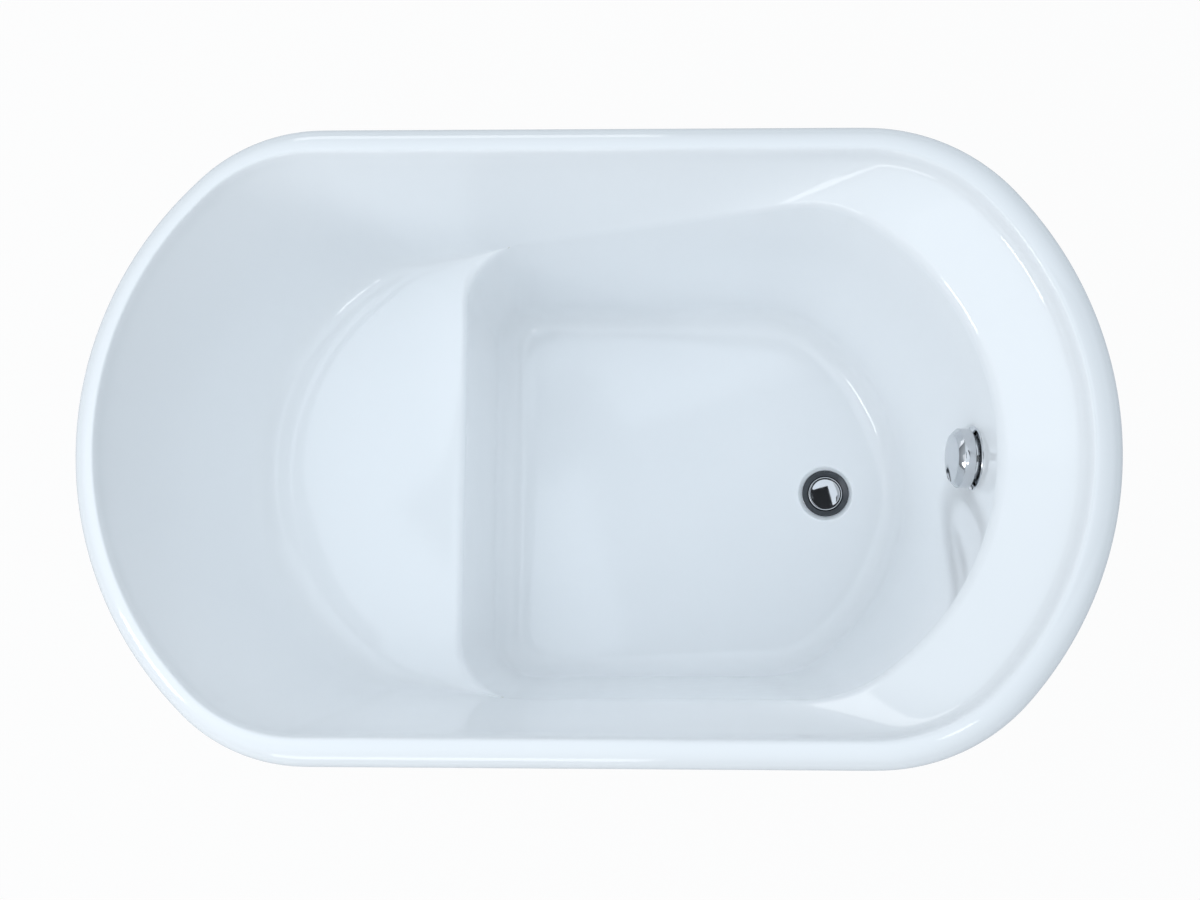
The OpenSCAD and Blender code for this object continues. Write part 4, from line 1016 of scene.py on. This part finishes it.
class BATH_OT_drain(Operator):
    """Turn the drain flange and the plug's cap"""
    bl_idname = "bath.drain"
    bl_label = "Drain"

    BEDDING = 0.001
    THROAT_STEP = 0.004
    HUB_DROP = 0.024
    EDGE_ROUND = 0.0012
    LOOKS_UP = 0.3

    def execute(self, context):
        waste = sizes("bath_waste")
        base = sizes("bath_footwell").floor_h - waste.recess_depth + self.BEDDING
        place = Matrix.Translation((waste.drain_x, 0, base))
        r, hole, plug = waste.flange_r, waste.hole_r, waste.plug_r
        throat, sleeve = plug - self.THROAT_STEP, hole - SLEEVE_PLAY
        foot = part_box("drain_flange")[0].z - base
        flange = turned("drain_flange_dish", [
            (r, 0.0), (r, 0.0022), (r - 0.0004, 0.0032), (r - 0.0012, 0.0039), (r - 0.0022, 0.0040),
            (r - 0.0036, 0.0036), (hole + 0.003, 0.0019), (hole - 0.0002, 0.0009), (plug + 0.0007, 0.0003),
            (plug + 0.0006, -0.0006), (throat + 0.002, -0.0024), (throat, -0.0034), (throat, foot),
            (sleeve, foot), (sleeve, -0.0036), (hole - 0.0002, -0.0014), (hole - 0.0002, 0.0)], place)
        soften_edges(flange, 0.0003)
        join(flange, spider("drain_hub", HUB_R, HUB_BORE, throat, HUB_L, raised(place, -self.HUB_DROP)))
        # The flange's second finish paints a dark reflection on its dished face
        put_on(flange, "tub", "chrome", "drain_flange", under="dark_dish")
        self.paint_dish_reflection(flange, waste, base)
        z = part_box("plug_cap")[0].z + 0.001 - base
        dome = ((plug - 0.0022) * (1 - i / 10) for i in range(11))
        cap = turned("plug_dome", [
            (0.0, z - 0.001), (0.007, z - 0.001), (plug - 0.002, z + 0.0004), (plug - 0.0004, z + 0.0008),
            (plug, z + 0.0014), (plug, z + 0.0024), (plug - 0.0005, z + 0.0030), (plug - 0.0013, z + 0.0033)]
            + [(x, z + 0.0028 + 0.0016 * (1 - (x / plug) ** 2)) for x in dome], place, closed=False)
        put_on(cap, "plug", "chrome", "plug_cap")
        return {"FINISHED"}

    def paint_dish_reflection(self, flange, waste, base):
        """The dished face gets the painted dark reflection, and the flange's rounded edge keeps the bright
        chrome.
        """
        edge = waste.flange_r - self.EDGE_ROUND
        for face in flange.data.polygons:
            r = math.hypot(face.center.x - waste.drain_x, face.center.y)
            if waste.plug_r < r < edge and face.center.z > base and face.normal.z > self.LOOKS_UP:
                face.material_index = 1


class BATH_OT_overflow(Operator):
    """Turn the overflow's base ring and its knob"""
    bl_idname = "bath.overflow"
    bl_label = "Overflow"

    SLEEVE_WALL = 0.003
    SLEEVE_L = 0.022
    KNOB_WALL = 0.0025
    FACE_INSET = 0.007
    DOME = 0.0015

    def execute(self, context):
        waste, place = sizes("bath_waste"), BasinForm().overflow_frame()
        r, t = waste.ring_r, waste.ring_t
        sleeve = waste.hole_r - RING_PLAY
        throat = sleeve - self.SLEEVE_WALL
        ring = turned("overflow_base_ring", [
            (r, 0.0), (r, t * 0.45), (r - 0.0004, t * 0.75), (r - 0.0012, t * 0.95), (r - 0.0022, t),
            (throat, t), (throat, -self.SLEEVE_L), (sleeve, -self.SLEEVE_L), (sleeve, 0.0)], place)
        soften_edges(ring, 0.0003)
        join(ring, spider("ring_hub", HUB_R, HUB_BORE, throat, HUB_L, raised(place, -HUB_L)))
        put_on(ring, "tub", "chrome", "overflow_ring")
        at = raised(place, t + waste.knob_gap)
        knob = turned("overflow_cap", self.knob_profile(waste), at, closed=False)
        soften_edges(knob, 0.0009, 3, 20.0)
        put_on(knob, "knob", "chrome", "overflow_knob")
        return {"FINISHED"}

    def knob_profile(self, waste):
        r, depth, wall = waste.knob_r, waste.knob_depth, self.KNOB_WALL
        face, roof = r - self.FACE_INSET, depth - wall - self.DOME
        dome = [(face * (1 - i / 8), depth - self.DOME * (1 - i / 8) ** 2) for i in range(1, 9)]
        inside = [(0.0, roof - 0.003), (HUB_BORE, roof - 0.003), (HUB_BORE, 0.001), (HUB_R, 0.001),
                  (HUB_R, roof - 0.0005), (face - 0.001, roof - 0.001), (r - wall, depth * 0.58),
                  (r - wall, 0.0)]
        return inside + [(r, 0.0), (r, depth * 0.62), (face, depth - self.DOME)] + dome


class HoseForm:
    """The routes of the overflow hose and of the control cable beside it, in metres."""

    CUP_OUTLET = 0.060
    CUP_R = 0.030
    NUT_R = 0.022
    WASTE_R = 0.030
    INLET_Z = 0.067
    INLET_L = 0.028
    BEND_R = 0.080
    GLAND_L = 0.012
    GLAND_Z = 0.0545
    CRANK_R = 0.009
    CABLE_TURN = math.radians(42)
    # Straight runs of the cable at its two ends, and of the hose beside its nuts
    CABLE_OUT = 0.025
    CABLE_IN = 0.016
    HOSE_PLAIN = 0.001
    # Share of the hose's length that hangs, before its bend
    DROP_SHARE = 28 / 48
    # Where the cable lies beside the hose: share of the drop or the bend, and the way from its middle line
    BESIDE_DROP = ((0.12, (0.032, 0.017, 0)), (0.47, (0.026, 0.028, 0)), (0.8, (0.013, 0.036, 0)))
    BESIDE_BEND = ((0.15, (-0.005, 0.042, 0)), (0.55, (-0.015, 0.046, 0)), (1.0, (0, 0.046, -0.005)))

    def __init__(self):
        self.waste, form = sizes("bath_waste"), BasinForm()
        place, straight = form.overflow_frame(), 2 * self.waste.hose_r + 0.002
        self.outlet_z = -form.rim.shell_t - self.NUT_R - 0.002
        self.wire_z = self.outlet_z - self.NUT_R - self.waste.cable_r - 0.0015
        self.down = -(place.to_3x3() @ Vector((1, 0, 0)))
        self.top = place @ Vector((-self.CUP_OUTLET - 0.00005, 0, self.outlet_z))
        self.foot = Vector((self.waste.drain_x + self.WASTE_R + self.INLET_L, 0, self.INLET_Z))
        self.bend = self.foot + Vector((straight, 0, self.BEND_R))
        self.start, self.end = self.top + self.down * straight, self.bend + Vector((self.BEND_R, 0, 0))
        self.pull = (self.start.z - self.end.z) / 3
        self.wire_top = place @ Vector((-self.CUP_R - self.GLAND_L, self.CRANK_R, self.wire_z))
        self.wire_way = Vector((math.cos(self.CABLE_TURN), math.sin(self.CABLE_TURN), 0))
        self.wire_foot = (Vector((self.waste.drain_x, 0, self.GLAND_Z))
                          + self.wire_way * (self.WASTE_R + self.GLAND_L))

    def drop_at(self, t):
        u = 1 - t
        return (self.start * u ** 3 + (self.start + self.down * self.pull) * 3 * t * u * u
                + (self.end + Vector((0, 0, self.pull))) * 3 * t * t * u + self.end * t ** 3)

    def bend_at(self, t):
        turn = math.pi / 2 * t
        return self.bend + Vector((math.cos(turn), 0, -math.sin(turn))) * self.BEND_R

    def middle_at(self, t):
        """A place on the hose's ribbed length, from 0 at its top to 1 at its foot."""
        share = self.DROP_SHARE
        return self.drop_at(t / share) if t < share else self.bend_at((t - share) / (1 - share))

    def hose_rings(self, sides=28, steps=6):
        waste, count = self.waste, self.waste.hose_ribs * steps
        root = waste.hose_r - waste.hose_root
        route, radii = [self.top, self.start - self.down * self.HOSE_PLAIN], [root, root]
        for i in range(count + 1):
            crest = 0.5 + 0.5 * math.cos(2 * math.pi * i / steps)
            route.append(self.middle_at(i / count))
            radii.append(mix(root, waste.hose_r, ease(crest)))
        route += [self.foot + Vector((self.bend.x - self.foot.x - self.HOSE_PLAIN, 0, 0)), self.foot]
        radii += [root, root]
        outside = tube_rings(route, radii, Vector((0, 1, 0)), sides)
        bore = tube_rings(route, [waste.hose_bore_r] * len(route), Vector((0, 1, 0)), sides)
        return outside + [bore[-1]] + bore[-3:2:-8] + [bore[0]]

    def cable_points(self):
        drop = [self.drop_at(t) + Vector(beside) for t, beside in self.BESIDE_DROP]
        bend = [self.bend_at(t) + Vector(beside) for t, beside in self.BESIDE_BEND]
        return ([self.wire_top, self.wire_top + self.down * self.CABLE_OUT] + drop + bend
                + [self.wire_foot + self.wire_way * self.CABLE_IN, self.wire_foot])

    def cable_rings(self, sides=16, steps=10):
        p = self.cable_points()
        route = [spline(p, i, k / steps) for i in range(len(p) - 1) for k in range(steps)] + [p[-1]]
        return tube_rings(route, [self.waste.cable_r] * len(route), Vector((0.3, 1, 0.2)), sides)


class BATH_OT_hose(Operator):
    """Draw the ribbed overflow hose and the control cable along their routes"""
    bl_idname = "bath.hose"
    bl_label = "Hose and cable"

    def execute(self, context):
        form = HoseForm()
        hose = loft("ribbed_hose", form.hose_rings(), closed=True)
        cable = loft("cable_sheath", form.cable_rings(), capped=True)
        put_on(hose, "tub", "white_hose", "overflow_hose", 60.0)
        put_on(cable, "tub", "cable_sheath", "control_cable", 60.0)
        return {"FINISHED"}


class BATH_OT_feet(Operator):
    """Make the levelling feet, their nuts and the brackets' bolts"""
    bl_idname = "bath.feet"
    bl_label = "Feet and bolts"

    # The bolts' heads and nuts, as a share of the bolt's radius to their corners
    BOLT_HEAD = 1.9
    BOLT_HEAD_H = 0.004
    BOLT_NUT_H = 0.005
    # Where the treads under a pad begin, as shares of its radius
    TREADS = (0.30, 0.62)
    STUD_COLLAR = 1.6
    STUD_COLLAR_H = 0.006
    THREAD_DEPTH = 0.0008
    ROWS_A_TURN = 6

    def execute(self, context):
        f = sizes("bath_frame")
        boxes = [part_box(f"foot_pad_{n}") for n in (1, 2, 3, 4)]
        middles = [Vector(((low.x + high.x) / 2, (low.y + high.y) / 2, 0)) for low, high in boxes]
        at, moves = Matrix.Translation(middles[0]), [middle - middles[0] for middle in middles[1:]]
        pad = turned("rubber_foot", self.pad_rows(f), at, closed=False)
        stud = turned("threaded_stud", self.stud_rows(f), at, sides=24, closed=False)
        nuts = join(*[self.hex_nut("stud_nut", f.nut_r, f.stud_r + 0.00005, low, low + f.nut_h, at)
                      for low in (f.rail_z - f.nut_h, f.board_z)])
        for first, angle, name, slot, node in ((pad, 40.0, "rubber_foot", "rubber", "foot_pad"),
                                               (stud, 25.0, "threaded_stud", "zinc_steel", "foot_stud")):
            for n, piece in enumerate([first] + [shifted(first, name, move) for move in moves], 1):
                piece.name = f"{name}_{n}"
                put_on(piece, f"foot_{n}", slot, f"{node}_{n}", angle)
        join(nuts, *[shifted(nuts, "stud_nut", move) for move in moves])
        put_on(nuts, "tub", "zinc_steel", "foot_nuts", 25.0)
        self.bolts(f)
        return {"FINISHED"}

    def hex_nut(self, name, corner, bore, low, high, at):
        return turned(name, [(bore, low)] + hex_rows(corner, low, high) + [(bore, high)], at, sides=48)

    def pad_rows(self, f):
        r, h = f.pad_r, f.pad_h
        treads = [(r * (start + share), z) for start in self.TREADS
                  for share, z in ((0.0, 0.0), (0.02, 0.0008), (0.12, 0.0008), (0.14, 0.0))]
        return [(0.0, 0.0)] + treads + [
            (r - 0.001, 0.0), (r - 0.0003, 0.0003), (r, 0.001), (r, h * 0.44), (r - 0.0004, h * 0.5),
            (r - 0.0014, h * 0.55), (f.stud_r * 2.2, h * 0.94), (f.stud_r * 1.9, h), (0.0, h)]

    def stud_rows(self, f):
        collar, r, depth = f.pad_h + self.STUD_COLLAR_H, f.stud_r, self.THREAD_DEPTH
        low, high = collar + 0.0006, f.stud_top - 0.0012
        count = round((high - low) / f.pitch * self.ROWS_A_TURN)
        screw = [(thread(r, depth, f.pitch), mix(low, high, i / count)) for i in range(count + 1)]
        return ([(0.0, f.pad_h)] + hex_rows(r * self.STUD_COLLAR, f.pad_h, collar) + [(r - depth, collar)]
                + screw + [(r - 0.0010, f.stud_top - 0.0006), (r - 0.0018, f.stud_top), (0.0, f.stud_top)])

    def bolts(self, f):
        low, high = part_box("bracket_bolts")
        r, head_r, head = f.bolt_r, f.bolt_r * self.BOLT_HEAD, high.z - self.BOLT_HEAD_H
        reach = Vector((head_r, head_r * math.cos(math.pi / 6), 0))
        first, last = low + reach, high - reach
        shank = [(0.0, low.z), (r - 0.0006, low.z), (r, low.z + 0.0006), (r, head)]
        made = []
        for at in (Matrix.Translation((x, y, 0)) for x in (first.x, last.x) for y in (first.y, last.y)):
            rows = shank + hex_rows(head_r, head, high.z) + [(0.0, high.z)]
            made.append(turned("bracket_bolt", rows, at, sides=48, closed=False))
            made.append(self.hex_nut("bolt_nut", head_r, r, f.rail_z - self.BOLT_NUT_H, f.rail_z, at))
        put_on(join(*made), "tub", "zinc_steel", "bracket_bolts", 25.0)


class BATH_OT_waste(Operator):
    """Make the waste and overflow bodies, their nuts and seals, and the plug's works"""
    bl_idname = "bath.waste"
    bl_label = "Waste and overflow"

    WALL = 0.0025
    SEAL_R = 0.034
    SEAL_T = 0.004
    GLAND_R = 0.0045
    GLAND_BORE = 0.00125
    FIT = 0.0002
    BOWL_FOOT = 0.0465
    OUTLET_R = 0.017
    PIPE_R = 0.020
    PIPE_NUT_R = 0.029
    PIPE_NUT_SOCKET = (0.0229, 0.006)

    def execute(self, context):
        form, route = BasinForm(), HoseForm()
        down, wall = Matrix.Translation((form.waste.drain_x, 0, 0)), form.overflow_frame()
        self.waste_body(form.waste, down)
        self.overflow_body(form, route, wall)
        self.nuts(route, down, wall)
        self.seals(form, down, wall)
        self.plug_works(down)
        return {"FINISHED"}

    def add(self, name, rows, place, slot, node, body="tub", closed=True, sides=64):
        put_on(turned(name, rows, place, sides, closed), body, slot, node)

    def tube(self, r, bore, start, end, place):
        """A moulded tube with a bead at its end, about the place's Z."""
        rows = [(bore, start), (r, start), (r, end - 0.001), (r - 0.0006, end), (bore, end)]
        return turned("tube", rows, place, 48)

    def waste_body(self, waste, down):
        low, high = (corner.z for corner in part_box("waste_body"))
        r, foot, wall, hose_r = HoseForm.WASTE_R, self.BOWL_FOOT, self.WALL, waste.hose_bore_r
        brim, sleeve = self.SEAL_R + 0.002, waste.hole_r - SLEEVE_PLAY + self.FIT
        socket = self.PIPE_R + self.FIT
        collar = socket + wall
        shell = turned("waste_bowl", [
            (sleeve, high), (brim - 0.0008, high), (brim, high - 0.0008), (brim, high - 0.0042),
            (brim - 0.0008, high - 0.005), (r + 0.0012, high - 0.005), (r, high - 0.0062), (r, foot + 0.003),
            (r - 0.0009, foot + 0.0009), (r - 0.003, foot), (collar, foot), (collar, low + 0.0008),
            (collar - 0.0006, low), (socket, low), (socket, foot), (self.OUTLET_R, foot),
            (self.OUTLET_R, foot + wall), (r - wall, foot + wall), (r - wall, high - 0.016),
            (sleeve, high - 0.016)], down)
        inlet = self.tube(hose_r + wall, hose_r, r - 0.002, r + HoseForm.INLET_L,
                          raised(down, HoseForm.INLET_Z) @ ALONG_X)
        at = raised(down, HoseForm.GLAND_Z) @ Matrix.Rotation(HoseForm.CABLE_TURN, 4, "Z") @ ALONG_X
        gland = self.tube(self.GLAND_R, self.GLAND_BORE, r - 0.002, r + HoseForm.GLAND_L, at)
        guide = spider("pin_guide", 0.007, 0.00305, self.OUTLET_R, 0.011, raised(down, foot))
        put_on(join(shell, inlet, gland, guide), "tub", "grey_plastic", "waste_body")
        r = self.PIPE_R
        self.add("waste_pipe", [
            (r - 0.002, 0.010), (r - 0.0006, 0.010), (r, 0.0106), (r, 0.0240), (r - 0.0005, 0.0243),
            (r - 0.0005, 0.0249), (r, 0.0252), (r, 0.0455), (r - 0.002, 0.0455)],
            down, "grey_plastic", "outlet_pipe")

    def overflow_body(self, form, route, place):
        top = -form.rim.shell_t - self.SEAL_T
        r, wall, hose_r = HoseForm.CUP_R, self.WALL, form.waste.hose_bore_r
        back = route.wire_z - 0.007 - wall
        brim, sleeve = self.SEAL_R + 0.001, form.waste.hole_r - RING_PLAY + self.FIT
        cup = turned("overflow_cup", [
            (sleeve, top), (brim - 0.0006, top), (brim, top - 0.0006), (brim, top - 0.0034),
            (brim - 0.0006, top - 0.004), (r + 0.001, top - 0.004), (r, top - 0.005), (r, back + 0.003),
            (r - 0.0009, back + 0.0009), (r - 0.003, back), (0.0, back), (0.0, back + wall),
            (r - wall, back + wall), (r - wall, top - 0.012), (sleeve, top - 0.012)], place)
        outlet = self.tube(hose_r + wall, hose_r, r - 0.004, HoseForm.CUP_OUTLET,
                           raised(place, route.outlet_z) @ AGAINST_X)
        gland = self.tube(self.GLAND_R, self.GLAND_BORE, r - 0.004, r + HoseForm.GLAND_L,
                          place @ Matrix.Translation((0, HoseForm.CRANK_R, route.wire_z)) @ AGAINST_X)
        put_on(join(cup, outlet, gland), "tub", "grey_plastic", "overflow_body")

    def nut(self, name, node, bore, r, low, high, place, socket=None):
        """A round plastic nut with hollows for the fingers. Its socket is a wider bore's radius and depth."""
        grips = [(grip(r - cut, 12, 0.0016), z) for cut, z in (
            (0.0012, low + 0.0006), (0.0, low + 0.0018), (0.0, high - 0.0018), (0.0012, high - 0.0006))]
        inside = [(bore, high)]
        if socket:
            wide, depth = socket
            inside = [(wide, high), (wide, high - depth), (bore, high - depth)]
        rows = [(bore, low), (r - 0.0026, low)] + grips + [(r - 0.0026, high)] + inside
        self.add(name, rows, place, "grey_plastic", node, sides=96)

    def nuts(self, route, down, wall):
        bore, r = route.waste.hose_r - route.waste.hose_root + 0.0003, HoseForm.NUT_R
        self.nut("upper_hose_nut", "hose_nut_top", bore, r, 0.048, 0.072,
                 raised(wall, route.outlet_z) @ AGAINST_X)
        self.nut("lower_hose_nut", "hose_nut_bottom", bore, r, -0.012, 0.012,
                 Matrix.Translation(route.foot) @ AGAINST_X)
        low, high = (corner.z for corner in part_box("outlet_nut"))
        self.nut("pipe_nut", "outlet_nut", self.PIPE_R + 0.00005, self.PIPE_NUT_R, low, high, down,
                 self.PIPE_NUT_SOCKET)

    def seals(self, form, down, wall):
        for name, node, outer, inner in (
                ("flange_gasket", "drain_gasket", form.waste.flange_r - 0.0015, form.waste.hole_r + 0.0005),
                ("waste_seal", "drain_seal", self.SEAL_R, form.waste.hole_r - 0.0018)):
            low, high = (corner.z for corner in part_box(node))
            rows = washer_rows(outer, inner, low, high, min(0.0008, (high - low) * 0.3))
            self.add(name, rows, down, "rubber", node)
        back = -form.rim.shell_t - self.SEAL_T
        rows = washer_rows(self.SEAL_R, form.waste.hole_r - 0.0013, back, back + self.SEAL_T, 0.0008)
        self.add("overflow_seal", rows, wall, "rubber", "overflow_gasket")

    def plug_works(self, down):
        low, high = (corner.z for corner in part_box("plug_stem"))
        self.add("plug_shank", [
            (0.0, low), (0.0034, low), (0.004, low + 0.0006), (0.004, high - 0.003), (0.0064, high - 0.003),
            (0.007, high - 0.0024), (0.007, high), (0.0, high)],
            down, "grey_plastic", "plug_stem", "plug", False, 48)
        low, high = (corner.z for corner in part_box("lift_pin"))
        self.add("lifting_pin", [
            (0.0, low), (0.0024, low), (0.003, low + 0.0006), (0.003, high - 0.003), (0.0040, high - 0.003),
            (0.0045, high - 0.0025), (0.0045, high - 0.0006), (0.0039, high), (0.0, high)], down, "stainless",
            "lift_pin", "lifter", False, 48)


class BATH_OT_works(Operator):
    """Give the frame, the boards and the small works their finishes"""
    bl_idname = "bath.works"
    bl_label = "Frame and works"

    def execute(self, context):
        slots = {row["node"]: row["material_slot"] for row in frame["record"]["subparts"]}
        for node, piece in frame["nodes"].items():
            if not piece.hide_render:
                dress(node, finishes()[slots[node]])
        return {"FINISHED"}


class BATH_PT_panel(Panel):
    """Sizes, colours and steps of the bathtub"""
    bl_idname = "BATH_PT_panel"
    bl_label = "Sit-in Bathtub"
    bl_space_type = "VIEW_3D"
    bl_region_type = "UI"
    bl_category = "Bathtub"

    def draw(self, context):
        for operator in STEPS_TO_BUILD:
            self.layout.operator(operator.bl_idname)
        for name, group in GROUPS.items():
            box = self.layout.box()
            box.label(text=name.split("_")[1].title())
            for value in group.__annotations__:
                box.prop(getattr(context.scene, name), value)


STEPS_TO_BUILD = (BATH_OT_stage, BATH_OT_basin, BATH_OT_skirt, BATH_OT_drain, BATH_OT_overflow, BATH_OT_hose,
                  BATH_OT_feet, BATH_OT_waste, BATH_OT_works)
CLASSES = (*GROUPS.values(), *STEPS_TO_BUILD, BATH_PT_panel)


def register():
    for cls in CLASSES:
        bpy.utils.register_class(cls)
    for name, group in GROUPS.items():
        setattr(bpy.types.Scene, name, PointerProperty(type=group))


def unregister():
    for name in GROUPS:
        delattr(bpy.types.Scene, name)
    for cls in reversed(CLASSES):
        bpy.utils.unregister_class(cls)


def main():
    register()
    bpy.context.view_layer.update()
    for operator in STEPS_TO_BUILD:
        group, step = operator.bl_idname.split(".")
        getattr(getattr(bpy.ops, group), step)()


if __name__ == "__main__":
    main()
